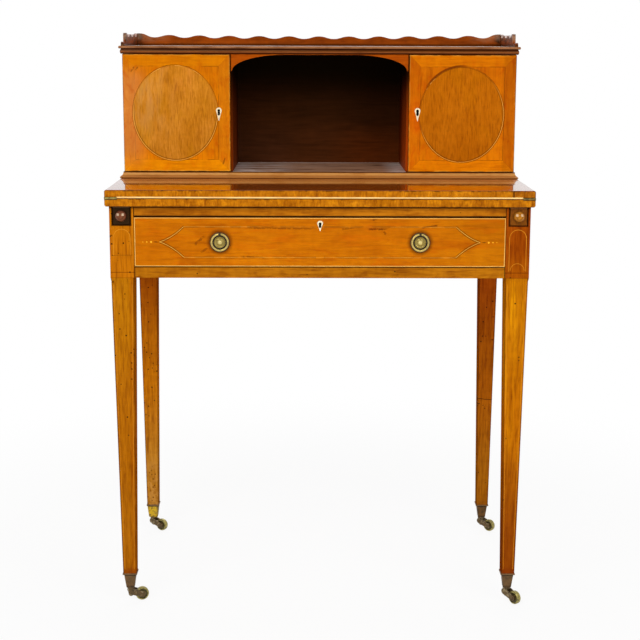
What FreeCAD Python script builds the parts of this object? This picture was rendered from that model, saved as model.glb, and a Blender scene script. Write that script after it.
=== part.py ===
import FreeCAD, Part
import math
import os

Vector = FreeCAD.Vector

# Table top: a fixed bed, a flap folded flat on it and a narrow fixed leaf behind the flap
top_width = 760.0
top_depth = 466.0
closed_top_height = 774.0
leaf_thickness = 14.5
leaf_seam = 0.5
flap_depth = 221.0
rear_seam = 0.8
leaf_ease = 1.2
leaf_end_round = 3.6

# Flap hinges: brass leaves let into both ends of the front edge
hinge_length = 22.0
hinge_leaf_depth = 26.0
hinge_leaf_thickness = 1.6
hinge_offset = 0.4
knuckle_radius = 2.2
knuckle_middle = 8.0
hinge_pin_radius = 1.0

# Legs: a square block beside the drawer, a short shoulder, then a taper on all sides down to the caster
leg_block = 43.0
front_leg_waist = 40.6
rear_leg_waist = 38.4
leg_foot = 24.4
leg_shoulder = 6.0
leg_inset_side = 6.5
leg_inset_front = 10.0
leg_inset_back = 2.0
leg_ease = 0.8
apron_height = 128.2

# Rails between the legs
rail_thickness = 20.0
rail_inset = 1.0
upper_rail_height = 17.8
lower_rail_height = 20.2
tenon_thickness = 8.0
tenon_length = 18.0
tenon_shoulder = 6.0

# Lopers: bearers that slide out of the tops of the front legs and hold the open flap
loper_width = 31.0
loper_height = 33.2
loper_play = 0.8
loper_lift = 0.4
loper_travel = 190.0
loper_tail = 98.0
loper_chamfer = 1.2
peg_radius = 4.0
peg_length = 12.0
peg_seat = 8.0
knob_radius = 10.2
knob_reach = 14.5
spigot_radius = 4.0
spigot_length = 12.0

# Drawer
drawer_gap = 0.7
drawer_top_gap = 2.2
drawer_front_thickness = 20.0
drawer_side_thickness = 10.0
drawer_back_thickness = 9.0
drawer_back_drop = 6.0
drawer_bottom_thickness = 6.0
drawer_bottom_rise = 8.0
drawer_rear_room = 14.0
drawer_ease = 0.6
groove_depth = 5.0
runner_reach = 25.0
tail_count = 3
tail_length = 13.0
tail_root = 13.0
tail_flare = 2.5

# Drawer pulls: a round dished plate with a ring hung from a lug at its top
pull_spacing = 356.0
plate_radius = 17.8
plate_rim = 1.1
plate_rim_height = 2.4
channel_floor = 1.2
boss_radius = 10.0
boss_height = 4.4
boss_slope = 0.6
dish_floor = 1.6
button_radius = 4.4
button_height = 5.6
ring_radius = 14.6
ring_wire = 1.8
ring_play = 0.4
ring_lift = 0.3
lug_wall = 1.0
lug_half = 1.8
shank_radius = 2.0
nut_radius = 4.6
nut_thickness = 3.0

# Upper case on the rear leaf
case_inset_back = 2.0
case_opening = 221.4
case_wall = 12.0
divider_thickness = 10.0
niche_width = 331.0
case_back_thickness = 8.0
back_rebate = 6.0
housing_depth = 4.0
base_thickness = 12.0
base_margin = 1.5
base_end_margin = 0.1
base_projection = 7.2
base_fillet = 2.8
base_step = 1.2
base_hollow = 1.8
top_thickness = 14.6
cornice_projection = 5.6
cornice_step = 1.4
cornice_bead = 1.5
cornice_bead_height = 8.6
cornice_groove = 1.0

# Arched fascia of the niche, level with the doors
arch_gap = 2.0
arch_drop = 31.4
arch_strip = 1.2
arch_corner = 100.0

# Wavy gallery on the case
gallery_thickness = 6.0
gallery_setback = 3.0
gallery_crest = 21.8
gallery_valley = 16.6
gallery_sag = 2.8
gallery_end = 24.0
gallery_end_flat = 10.0
gallery_back_waves = 12
gallery_side_waves = 3
gallery_overhang = 1.6
toe_radius = 7.6
toe_length = 38.0
toe_hollow = 2.4
riser_round = 6.0

# Doors, hung on pivots in their top and bottom ends
door_thickness = 16.0
door_gap = 0.8
door_lap = 6.0
door_ease = 0.6
pivot_radius = 2.5
pivot_length = 5.0
pivot_plate_length = 27.0
pivot_plate_width = 10.0
pivot_plate_end = 5.0
pivot_plate_thickness = 2.0

# Locks and bone escutcheons
escutcheon_thickness = 1.5
escutcheon_tip = 1.2
escutcheon_shoulder = 6.8
escutcheon_hollow = 0.3
escutcheon_proud = 0.2
door_escutcheon_width = 10.6
door_escutcheon_height = 24.6
door_escutcheon_drop = 1.5
left_escutcheon_inset = 21.4
right_escutcheon_inset = 16.5
drawer_escutcheon_width = 9.4
drawer_escutcheon_height = 18.6
drawer_escutcheon_drop = 5.2
keyhole_radius = 2.6
keyhole_slot = 4.4
keyhole_drop = 3.0
door_keyhole_length = 7.2
drawer_keyhole_length = 5.2
door_lock_width = 36.0
door_lock_height = 30.0
drawer_lock_width = 50.0
drawer_lock_height = 34.0
lock_depth = 9.0
lock_clear = 2.0
bolt_thickness = 4.0
bolt_height = 10.0
bolt_length = 20.0
bolt_throw = 6.0

# Casters: a square socket on the foot, a swivelling fork and a wheel that trails behind the swivel
wheel_radius = 12.4
wheel_width = 9.0
wheel_shoulder = 2.2
wheel_recess = 1.2
wheel_hub_radius = 4.6
wheel_rim = 3.0
caster_trail = 21.0
axle_radius = 2.0
axle_head = 0.6
cup_height = 29.0
cup_floor = 10.0
cup_top_side = 22.6
cup_bottom_side = 15.0
cup_wall = 2.0
cup_clearance = 3.7
collar_side = 26.8
collar_height = 3.0
stem_radius = 3.0
stem_length = 8.5
fork_flange_radius = 7.3
fork_flange_thickness = 2.6
fork_body_radius = 6.4
fork_tip_radius = 4.6
fork_ground = 8.5
fork_cheek = 2.2
fork_head_radius = 6.0
fork_eye_radius = 5.4
fork_side_gap = 0.5
swivel_front_left = 16.0
swivel_front_right = -50.0
swivel_rear_left = -28.0
swivel_rear_right = -40.0

# The rear left socket is a stouter replacement
stout_top_side = 25.2
stout_bottom_side = 18.6
stout_round = 2.6

# Clearances
glue_gap = 0.1
running_gap = 0.05
slide_gap = 0.3
knuckle_room = 0.4

# Heights of the main planes
flap_bottom = closed_top_height - leaf_thickness
bed_top = flap_bottom - leaf_seam
bed_bottom = bed_top - leaf_thickness
apron_bottom = bed_bottom - apron_height
opening_bottom = apron_bottom + lower_rail_height
opening_top = bed_bottom - upper_rail_height
base_top = closed_top_height + base_thickness
case_ceiling = base_top + case_opening
case_top_top = case_ceiling + top_thickness
cup_bottom = 2 * wheel_radius + cup_clearance
cup_top = cup_bottom + cup_height

# Widths, measured from the middle to the right
top_half = top_width / 2
leg_outer = top_half - leg_inset_side
leg_inner = leg_outer - leg_block
leg_axis = leg_outer - leg_block / 2
rail_outer = leg_outer - rail_inset
rail_inner = rail_outer - rail_thickness
case_half = top_half - base_end_margin - base_projection
niche_half = niche_width / 2
divider_outer = niche_half + divider_thickness
door_outer = case_half - door_gap
door_inner = divider_outer - door_lap

# Depths, front to back, with the origin midway between the foremost and the rearmost point
front_reach = max(knob_reach - leg_inset_front, hinge_offset + knuckle_radius)
front_edge = (front_reach - top_depth) / 2
back_edge = front_edge + top_depth
flap_back = front_edge + flap_depth
rear_leaf_front = flap_back + rear_seam
leg_front = front_edge + leg_inset_front
leg_back = back_edge - leg_inset_back
bay_front = leg_front + leg_block
bay_back = leg_back - leg_block
back_rail_back = leg_back - rail_inset
back_rail_front = back_rail_back - rail_thickness
case_front = rear_leaf_front + base_margin + base_projection
case_inner_front = case_front + door_thickness + door_gap
case_back = back_edge - case_inset_back
hinge_axis_y = front_edge - hinge_offset
hinge_axis_z = bed_top + leaf_seam / 2

# Loper channel beside the drawer
slot_half = loper_width / 2 + loper_play
slot_inner = leg_axis - slot_half
slot_outer = leg_axis + slot_half
slot_floor = bed_bottom - loper_height - 2 * loper_lift
loper_bottom = slot_floor + loper_lift

# Drawer planes
drawer_half = leg_inner - drawer_gap
drawer_bottom_z = opening_bottom + slide_gap
drawer_top_z = opening_top - drawer_top_gap
drawer_front_back = leg_front + drawer_front_thickness
drawer_end = back_rail_front - drawer_rear_room
drawer_side_inner = drawer_half - drawer_side_thickness
panel_z = drawer_bottom_z + drawer_bottom_rise
pull_z = (drawer_bottom_z + drawer_top_z) / 2

# Door planes
door_bottom = base_top + door_gap
door_top = case_ceiling - door_gap
door_back = case_front + door_thickness
pivot_x = door_outer - door_thickness / 2
pivot_y = case_front + door_thickness / 2
door_escutcheon_top = (door_bottom + door_top + door_escutcheon_height) / 2 - door_escutcheon_drop
gallery_half = case_half + gallery_overhang


def box(x0, x1, y0, y1, z0, z1):
    return Part.makeBox(x1 - x0, y1 - y0, z1 - z0, Vector(x0, y0, z0))


def grown(limits, gap):
    return [limit + (gap if index % 2 else -gap) for index, limit in enumerate(limits)]


def rod(radius, start, end):
    line = end - start
    return Part.makeCylinder(radius, line.Length, start, line)


def mirrored(solid):
    return solid.mirror(Vector(0, 0, 0), Vector(1, 0, 0))


def outline(start, *steps):
    """Closed flat face: a point is a straight run, a pair is an arc through the first to the second."""
    edges = []
    here = start
    for step in steps:
        if isinstance(step, tuple):
            through, end = step
            edges.append(Part.Arc(here, through, end).toShape())
        else:
            end = step
            edges.append(Part.makeLine(here, end))
        here = end
    if not here.isEqual(start, 1e-6):
        edges.append(Part.makeLine(here, start))
    return Part.Face(Part.Wire(edges))


def ogee(place, start, end):
    """Two arcs that leave one level point and arrive at another, bending once in the middle."""
    run = (end[0] - start[0]) / 2
    rise = (end[1] - start[1]) / 2
    half_turn = math.atan2(abs(rise), run)
    radius = (run ** 2 + rise ** 2) / (2 * abs(rise))
    along = radius * math.sin(half_turn)
    up = math.copysign(radius * (1 - math.cos(half_turn)), rise)
    first = (place(start[0] + along, start[1] + up), place(start[0] + run, start[1] + rise))
    second = (place(end[0] - along, end[1] - up), place(*end))
    return [first, second]


def bowed(place, start, end, depth):
    """Arc to the end point whose middle lies off the chord, to its left, by the given depth."""
    run = end[0] - start[0]
    rise = end[1] - start[1]
    shift = depth / math.hypot(run, rise)
    middle = place((start[0] + end[0]) / 2 - rise * shift, (start[1] + end[1]) / 2 + run * shift)
    return (middle, place(*end))


def dome(place, radius, low, high):
    """Arc from a rim up to the axis that it is turned about, level at the top."""
    half_turn = math.atan2(high - low, radius)
    sphere = (radius ** 2 + (high - low) ** 2) / (2 * (high - low))
    return (place(sphere * math.sin(half_turn), high - sphere * (1 - math.cos(half_turn))), place(0, high))


def rounded_square(centre_x, centre_y, z, side, ease):
    half = side / 2
    flat = half - ease
    diagonal = flat + ease / math.sqrt(2)
    edges = []
    for turn in range(4):
        spin = FreeCAD.Rotation(Vector(0, 0, 1), 90 * turn)
        middle = Vector(centre_x, centre_y, z)
        side_start = middle + spin.multVec(Vector(half, -flat, 0))
        side_end = middle + spin.multVec(Vector(half, flat, 0))
        corner = middle + spin.multVec(Vector(diagonal, diagonal, 0))
        next_start = middle + spin.multVec(Vector(flat, half, 0))
        edges.append(Part.makeLine(side_start, side_end))
        edges.append(Part.Arc(side_end, corner, next_start).toShape())
    return Part.Wire(edges)


def square_taper(centre_x, centre_y, bottom, top, ease):
    """Solid between two squares, each given as its height and side."""
    wires = [rounded_square(centre_x, centre_y, z, side, ease) for z, side in (bottom, top)]
    return Part.makeLoft(wires, True, True)


def eased_front(solid, face_y, radius):
    """Rounds the edges that lie in the front plane."""
    edges = [edge for edge in solid.Edges if edge.BoundBox.YMax - face_y < radius]
    return solid.makeFillet(radius, edges)


def save(name, *solids):
    Part.makeCompound(list(solids)).exportStep(os.path.join("parts", name + ".step"))


def side_tenon(leg_face, direction, gap):
    """Tenon of the right side rail, going from a leg's face into the leg."""
    middle = (rail_inner + slot_outer) / 2
    deep = leg_face + direction * (tenon_length + gap)
    return box(middle - tenon_thickness / 2 - gap, middle + tenon_thickness / 2 + gap,
               min(leg_face, deep), max(leg_face, deep),
               apron_bottom + tenon_shoulder - gap, slot_floor - tenon_shoulder + gap)


def back_tenon(gap):
    middle = (back_rail_front + back_rail_back) / 2
    return box(leg_inner, leg_inner + tenon_length + gap,
               middle - tenon_thickness / 2 - gap, middle + tenon_thickness / 2 + gap,
               apron_bottom + tenon_shoulder - gap, bed_bottom - tenon_shoulder + gap)


def front_tenon(gap):
    middle = (apron_bottom + opening_bottom) / 2
    return box(leg_inner, leg_inner + tenon_length + gap,
               leg_front + tenon_shoulder - gap, bay_front - tenon_shoulder + gap,
               middle - tenon_thickness / 2 - gap, middle + tenon_thickness / 2 + gap)


def cup_side(z):
    return cup_bottom_side + (cup_top_side - cup_bottom_side) * (z - cup_bottom) / cup_height


def leg_tip(centre_y, gap):
    """End of the leg inside the caster's socket."""
    low = cup_bottom + cup_floor - gap
    low_end = (low, cup_side(low) - 2 * cup_wall + 2 * gap)
    high_end = (cup_top, cup_top_side - 2 * cup_wall + 2 * gap)
    return square_taper(leg_axis, centre_y, low_end, high_end, leg_ease)


def leg(centre_y, waist):
    waist_z = apron_bottom - leg_shoulder
    block = square_taper(leg_axis, centre_y, (apron_bottom, leg_block), (bed_bottom, leg_block), leg_ease)
    shoulder = square_taper(leg_axis, centre_y, (waist_z, waist), (apron_bottom, leg_block), leg_ease)
    taper = square_taper(leg_axis, centre_y, (cup_top, leg_foot), (waist_z, waist), leg_ease)
    return block.fuse([shoulder, taper, leg_tip(centre_y, -glue_gap)]).removeSplitter()


def front_leg():
    slot = box(slot_inner, slot_outer, leg_front, bay_front, slot_floor, bed_bottom)
    body = leg(leg_front + leg_block / 2, front_leg_waist)
    return body.cut([slot, side_tenon(bay_front, -1, glue_gap), front_tenon(glue_gap)])


def rear_leg():
    body = leg(leg_back - leg_block / 2, rear_leg_waist)
    return body.cut([side_tenon(bay_back, 1, glue_gap), back_tenon(glue_gap)])


def side_rail():
    """The upper inner corner is cut away: the loper slides on that shoulder."""
    corners = [(rail_inner, apron_bottom), (rail_outer, apron_bottom), (rail_outer, bed_bottom),
               (slot_outer, bed_bottom), (slot_outer, slot_floor), (rail_inner, slot_floor)]
    points = [Vector(x, bay_front, z) for x, z in corners]
    rail = outline(*points).extrude(Vector(0, bay_back - bay_front, 0))
    return rail.fuse([side_tenon(bay_front, -1, 0), side_tenon(bay_back, 1, 0)]).removeSplitter()


def back_rail():
    rail = box(-leg_inner, leg_inner, back_rail_front, back_rail_back, apron_bottom, bed_bottom)
    return rail.fuse([back_tenon(0), mirrored(back_tenon(0))]).removeSplitter()


def lower_front_rail():
    rail = box(-leg_inner, leg_inner, leg_front, bay_front, apron_bottom, opening_bottom)
    return rail.fuse([front_tenon(0), mirrored(front_tenon(0))]).removeSplitter()


def upper_front_rail():
    rail = box(-leg_inner, leg_inner, leg_front, bay_front, opening_top, bed_bottom)
    mortise = grown(drawer_bolt_limits(), slide_gap)
    mortise[4] = opening_top
    mortise[5] = drawer_top_z + bolt_throw + slide_gap
    return rail.cut(box(*mortise))


def drawer_runner():
    return box(leg_inner - runner_reach, rail_inner, bay_front, bay_back, apron_bottom, opening_bottom)


def drawer_guide():
    return box(leg_inner, slot_inner, bay_front, bay_back, opening_bottom, bed_bottom)


def drawer_kicker():
    return box(leg_inner - runner_reach, leg_inner, bay_front, back_rail_front, opening_top, bed_bottom)


def hinge_span():
    return top_half - hinge_length, top_half


def hinge_leaf_pocket(lower, gap):
    inner, outer = hinge_span()
    if lower:
        heights = (bed_top - hinge_leaf_thickness - gap, bed_top)
    else:
        heights = (flap_bottom, flap_bottom + hinge_leaf_thickness + gap)
    return box(inner - gap, outer, hinge_axis_y, hinge_axis_y + hinge_leaf_depth + gap, *heights)


def hinge_rod(radius, start, end):
    return rod(radius, Vector(start, hinge_axis_y, hinge_axis_z), Vector(end, hinge_axis_y, hinge_axis_z))


def leaf_hinge_cut(lower):
    inner, outer = hinge_span()
    room = hinge_rod(knuckle_radius + knuckle_room, inner - glue_gap, outer)
    cut = hinge_leaf_pocket(lower, glue_gap).fuse(room)
    return [cut, mirrored(cut)]


def hinge_middle_span(gap):
    inner, outer = hinge_span()
    middle = (inner + outer) / 2
    return middle - knuckle_middle / 2 - gap, middle + knuckle_middle / 2 + gap


def hinge_bed_leaf():
    inner, outer = hinge_span()
    start, end = hinge_middle_span(slide_gap / 2)
    relief = hinge_rod(knuckle_radius + knuckle_room, start, end)
    plate = hinge_leaf_pocket(True, 0).fuse([hinge_rod(knuckle_radius, inner, start),
                                             hinge_rod(knuckle_radius, end, outer)])
    return plate.cut(relief).cut(hinge_rod(hinge_pin_radius + running_gap, inner, outer))


def hinge_flap_leaf():
    inner, outer = hinge_span()
    start, end = hinge_middle_span(-slide_gap / 2)
    room = knuckle_radius + knuckle_room
    plate = hinge_leaf_pocket(False, 0).cut([hinge_rod(room, inner, start), hinge_rod(room, end, outer)])
    body = plate.fuse(hinge_rod(knuckle_radius, start, end))
    return body.cut(hinge_rod(hinge_pin_radius + running_gap, inner, outer))


def hinge_pin():
    return hinge_rod(hinge_pin_radius, *hinge_span())


def eased_leaf(y0, y1, z0, z1, worn_z):
    """Board of the top with its long end edges worn round at one level and the rest just eased."""
    leaf = box(-top_half, top_half, y0, y1, z0, z1)
    ends = [edge for edge in leaf.Edges
            if edge.BoundBox.YLength > leaf_ease and abs(edge.CenterOfMass.z - worn_z) < leaf_ease]
    ends = [edge for edge in ends if abs(edge.CenterOfMass.x) > top_half - leaf_ease]
    leaf = leaf.makeFillet(leaf_end_round, ends)
    sharp = [edge for edge in leaf.Edges if edge.BoundBox.YLength < leaf_ease
             or abs(edge.CenterOfMass.z - worn_z) > leaf_end_round + leaf_ease]
    return leaf.makeFillet(leaf_ease, sharp)


def table_bed():
    return eased_leaf(front_edge, back_edge, bed_bottom, bed_top, bed_bottom).cut(leaf_hinge_cut(True))


def writing_flap():
    leaf = eased_leaf(front_edge, flap_back, flap_bottom, closed_top_height, closed_top_height)
    return leaf.cut(leaf_hinge_cut(False))


def rear_leaf():
    return eased_leaf(rear_leaf_front, back_edge, bed_top, closed_top_height, closed_top_height)


def loper():
    """The right-hand bearer and the peg under it that stops at the back of the leg."""
    length = leg_block + loper_travel + loper_tail
    bar = box(leg_axis - loper_width / 2, leg_axis + loper_width / 2, leg_front, leg_front + length,
              loper_bottom, loper_bottom + loper_height)
    front_edges = [edge for edge in bar.Edges if edge.BoundBox.YMax < leg_front + loper_chamfer]
    bar = bar.makeChamfer(loper_chamfer, front_edges)
    peg_x = (slot_inner + rail_inner) / 2
    peg_y = bay_front + loper_travel + peg_radius + slide_gap
    peg_low = Vector(peg_x, peg_y, loper_bottom - peg_length)
    peg_high = Vector(peg_x, peg_y, loper_bottom + peg_seat)
    bore = rod(peg_radius + running_gap, peg_low, peg_high)
    centre = Vector(leg_axis, leg_front, loper_bottom + loper_height / 2)
    spigot = rod(spigot_radius + running_gap, centre, centre + Vector(0, spigot_length + glue_gap, 0))
    return [bar.cut([bore, spigot]), rod(peg_radius, peg_low, peg_high)]


def loper_knob():
    centre_z = loper_bottom + loper_height / 2
    ball_out = knob_reach - knob_radius
    foot_radius = math.sqrt(knob_radius ** 2 - ball_out ** 2)

    def place(radius, out):
        return Vector(leg_axis + radius, leg_front - out, centre_z)

    turning = outline(place(0, -spigot_length), place(spigot_radius, -spigot_length),
                      place(spigot_radius, 0), place(foot_radius, 0),
                      (place(knob_radius, ball_out), place(0, knob_reach)))
    return turning.revolve(Vector(leg_axis, leg_front, centre_z), Vector(0, 1, 0), 360)


def tails(gap):
    """Dovetails of the right drawer side, grown by a gap when they cut their sockets."""
    pitch = (drawer_top_z - drawer_bottom_z) / tail_count
    shapes = []
    for index in range(tail_count):
        middle = drawer_bottom_z + pitch * (index + 0.5)
        root = tail_root / 2 + gap
        end = root + tail_flare
        front = drawer_front_back - tail_length - gap
        corners = [(drawer_front_back, middle - root), (front, middle - end),
                   (front, middle + end), (drawer_front_back, middle + root)]
        points = [Vector(drawer_side_inner - gap, y, z) for y, z in corners]
        shapes.append(outline(*points).extrude(Vector(drawer_side_thickness + gap, 0, 0)))
    return shapes


def panel_groove(gap):
    """Space that the drawer bottom takes, with its tongues in the sides and the front."""
    reach = drawer_side_inner + groove_depth - slide_gap + gap
    return box(-reach, reach, drawer_front_back - groove_depth + slide_gap - gap, drawer_end,
               panel_z - gap, panel_z + drawer_bottom_thickness + gap)


def drawer_side():
    board = box(drawer_side_inner, drawer_half, drawer_front_back, drawer_end, drawer_bottom_z, drawer_top_z)
    return board.fuse(tails(0)).removeSplitter().cut(panel_groove(glue_gap))


def drawer_back():
    return box(-drawer_side_inner, drawer_side_inner, drawer_end - drawer_back_thickness, drawer_end,
               panel_z + drawer_bottom_thickness + glue_gap, drawer_top_z - drawer_back_drop)


def drawer_bottom():
    return panel_groove(0)


def keyhole(centre_x, plate_top, length, start_y, end_y):
    """Round hole with a slot below it, run through from front to back."""
    centre_z = plate_top - keyhole_drop - keyhole_radius
    low_z = centre_z - length
    hole = rod(keyhole_radius, Vector(centre_x, start_y, centre_z), Vector(centre_x, end_y, centre_z))
    foot = rod(keyhole_slot / 2, Vector(centre_x, start_y, low_z), Vector(centre_x, end_y, low_z))
    slot = box(centre_x - keyhole_slot / 2, centre_x + keyhole_slot / 2, start_y, end_y, low_z, centre_z)
    return hole.fuse([foot, slot])


def escutcheon_plate(centre_x, top_z, width, height, face_y, gap):
    """Drop-shaped plate let into a face, point downwards."""
    half = width / 2 + gap
    tip = escutcheon_tip / 2 + gap
    top = top_z + gap
    bottom = top_z - height - gap
    shoulder = top_z - escutcheon_shoulder
    front = face_y - escutcheon_proud

    def place(x, z):
        return Vector(centre_x + x, front, z)

    drop = outline(place(-tip, bottom), place(tip, bottom),
                   bowed(place, (tip, bottom), (half, shoulder), escutcheon_hollow),
                   (place(0, top), place(-half, shoulder)),
                   bowed(place, (-half, shoulder), (-tip, bottom), escutcheon_hollow))
    return drop.extrude(Vector(0, escutcheon_proud + escutcheon_thickness, 0))


def escutcheon(centre_x, top_z, width, height, hole_length, face_y):
    plate = escutcheon_plate(centre_x, top_z, width, height, face_y, 0)
    front = face_y - escutcheon_proud
    return plate.cut(keyhole(centre_x, top_z, hole_length, front, face_y + escutcheon_thickness))


def drawer_lock_limits():
    return [-drawer_lock_width / 2, drawer_lock_width / 2, drawer_front_back - lock_depth, drawer_front_back,
            drawer_top_z - drawer_lock_height, drawer_top_z]


def drawer_bolt_limits():
    middle = drawer_front_back - lock_depth / 2
    return [-bolt_length / 2, bolt_length / 2, middle - bolt_thickness / 2, middle + bolt_thickness / 2,
            drawer_top_z - bolt_height - bolt_throw, drawer_top_z]


def drawer_key_top():
    return drawer_top_z - drawer_escutcheon_drop


def drawer_lock():
    return box(*drawer_lock_limits()).cut(box(*grown(drawer_bolt_limits(), slide_gap)))


def pull_places():
    return [-pull_spacing / 2, pull_spacing / 2]


def drawer_front():
    board = box(-drawer_half, drawer_half, leg_front, drawer_front_back, drawer_bottom_z, drawer_top_z)
    board = eased_front(board, leg_front, drawer_ease)
    sockets = tails(glue_gap)
    sockets += [mirrored(socket) for socket in sockets]
    shanks = [rod(shank_radius + glue_gap, Vector(x, leg_front, pull_z), Vector(x, drawer_front_back, pull_z))
              for x in pull_places()]
    recess = box(*grown(drawer_lock_limits(), glue_gap))
    top = drawer_key_top()
    hole = keyhole(0, top, drawer_keyhole_length, leg_front, drawer_front_back)
    seat = escutcheon_plate(0, top, drawer_escutcheon_width, drawer_escutcheon_height, leg_front, glue_gap)
    return board.cut(sockets + shanks + [panel_groove(glue_gap), recess, hole, seat])


def pull_plate(centre_x):
    def place(radius, out):
        return Vector(centre_x + radius, leg_front - out, pull_z)

    middle = Vector(centre_x, leg_front, pull_z)
    rim_inner = plate_radius - plate_rim
    dish_mid = (boss_radius + button_radius) / 2
    button_foot = (boss_height + dish_floor) / 2
    shank_end = -drawer_front_thickness - nut_thickness
    profile = outline(place(0, shank_end), place(shank_radius, shank_end), place(shank_radius, 0),
                      place(plate_radius, 0), place(plate_radius, channel_floor),
                      (place(plate_radius - plate_rim / 2, plate_rim_height),
                       place(rim_inner, channel_floor)),
                      place(boss_radius + boss_slope, channel_floor), place(boss_radius, boss_height),
                      (place(dish_mid, dish_floor), place(button_radius, button_foot)),
                      dome(place, button_radius, button_foot, button_height))
    plate = profile.revolve(middle, Vector(0, 1, 0), 360)
    hang = pull_hang(centre_x)
    lug_radius = ring_wire + ring_play + lug_wall
    low = Vector(centre_x - lug_half, leg_front, hang.z - lug_radius)
    high = Vector(centre_x - lug_half, leg_front, hang.z + lug_radius)
    out = Vector(0, hang.y - leg_front, 0)
    tip = Vector(centre_x - lug_half, hang.y - lug_radius, hang.z)
    lug = outline(low, low + out, (tip, high + out), high).extrude(Vector(2 * lug_half, 0, 0))
    side = Vector(lug_half, 0, 0)
    eye = rod(ring_wire + ring_play, hang - side, hang + side)
    return plate.fuse(lug).cut(eye)


def pull_hang(centre_x):
    """Point in the lug's eye about which the ring swings."""
    out = channel_floor + ring_lift + ring_play + ring_wire
    return Vector(centre_x, leg_front - out, pull_z + ring_radius)


def pull_ring(centre_x):
    centre = pull_hang(centre_x) - Vector(0, 0, ring_radius)
    return Part.makeTorus(ring_radius, ring_wire, centre, Vector(0, 1, 0))


def pull_nut(centre_x):
    corners = []
    for index in range(6):
        angle = math.radians(60 * index)
        corners.append(Vector(centre_x + nut_radius * math.cos(angle), drawer_front_back,
                              pull_z + nut_radius * math.sin(angle)))
    nut = outline(*corners).extrude(Vector(0, nut_thickness, 0))
    start = Vector(centre_x, drawer_front_back, pull_z)
    return nut.cut(rod(shank_radius + running_gap, start, start + Vector(0, nut_thickness, 0)))


def pivot_plate(z0, z1, gap):
    """Footprint shared by a door's pivot plate and the socket plate that faces it."""
    return box(pivot_x + pivot_plate_end - pivot_plate_length - gap, pivot_x + pivot_plate_end + gap,
               pivot_y - pivot_plate_width / 2 - gap, pivot_y + pivot_plate_width / 2 + gap, z0, z1)


def pivot_rod(radius, z0, z1):
    return rod(radius, Vector(pivot_x, pivot_y, z0), Vector(pivot_x, pivot_y, z1))


def door_pivots():
    """Brass plates in the bottom and top ends of the right door, each with its pin."""
    low = pivot_plate(door_bottom, door_bottom + pivot_plate_thickness, 0)
    high = pivot_plate(door_top - pivot_plate_thickness, door_top, 0)
    low_pin = pivot_rod(pivot_radius, door_bottom - pivot_length, door_bottom)
    high_pin = pivot_rod(pivot_radius, door_top, door_top + pivot_length)
    return [low.fuse(low_pin), high.fuse(high_pin)]


def pivot_sockets():
    low = pivot_plate(base_top - pivot_plate_thickness, base_top, 0)
    high = pivot_plate(case_ceiling, case_ceiling + pivot_plate_thickness, 0)
    hole = pivot_rod(pivot_radius + running_gap, door_bottom - pivot_length, door_top + pivot_length)
    return [low.cut(hole), high.cut(hole)]


def pivot_cuts(z0, z1, pin_z0, pin_z1):
    cut = pivot_plate(z0, z1, glue_gap).fuse(pivot_rod(pivot_radius + slide_gap, pin_z0, pin_z1))
    return [cut, mirrored(cut)]


def housings(z0, z1):
    """Grooves for the ends of the sides and dividers."""
    cuts = []
    for inner, outer, back in case_uprights():
        groove = box(inner - glue_gap, outer + glue_gap, case_inner_front - glue_gap, back + glue_gap, z0, z1)
        cuts += [groove, mirrored(groove)]
    return cuts


def case_uprights():
    side = (case_half - case_wall, case_half, case_back)
    divider = (niche_half, divider_outer, case_back - case_back_thickness)
    return [side, divider]


def case_upright(inner, outer, back):
    return box(inner, outer, case_inner_front, back, base_top - housing_depth, case_ceiling + housing_depth)


def back_panel(gap):
    half = case_half - case_wall + back_rebate - glue_gap + gap
    return box(-half, half, case_back - case_back_thickness - gap, case_back, base_top, case_ceiling)


def case_side():
    return case_upright(*case_uprights()[0]).cut(back_panel(glue_gap))


def case_divider():
    mortise = grown(door_bolt_limits(), slide_gap)
    mortise[0] = door_bolt_limits()[0] - bolt_throw - slide_gap
    return case_upright(*case_uprights()[1]).cut(box(*mortise))


def case_base():
    board = box(-case_half, case_half, case_front, case_back, closed_top_height, base_top)
    cuts = housings(base_top - housing_depth - glue_gap, base_top)
    cuts += pivot_cuts(base_top - pivot_plate_thickness - glue_gap, base_top,
                       door_bottom - pivot_length - slide_gap, base_top)
    return board.cut(cuts)


def case_top():
    board = box(-case_half, case_half, case_front, case_back, case_ceiling, case_top_top)
    cuts = housings(case_ceiling, case_ceiling + housing_depth + glue_gap)
    cuts += pivot_cuts(case_ceiling, case_ceiling + pivot_plate_thickness + glue_gap,
                       case_ceiling, door_top + pivot_length + slide_gap)
    return board.cut(cuts)


def base_profile(place):
    """Square fillet below, hollow above it up to a small step."""
    foot = (base_projection, base_fillet)
    hollow = bowed(place, foot, (base_step, base_thickness), base_hollow)
    return outline(place(0, 0), place(base_projection, 0), place(*foot), hollow, place(0, base_thickness))


def cornice_profile(place):
    """Half-round bead below, a groove, then a nosed lip."""
    lip = cornice_bead_height + cornice_groove
    lip_middle = (lip + top_thickness) / 2
    nose = cornice_projection - cornice_bead
    return outline(place(0, 0), place(cornice_step, 0),
                   (place(cornice_step + cornice_bead, cornice_bead_height / 2),
                    place(cornice_step, cornice_bead_height)),
                   place(cornice_step, lip), place(nose, lip),
                   (place(cornice_projection, lip_middle), place(nose, top_thickness)),
                   place(0, top_thickness))


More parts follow.
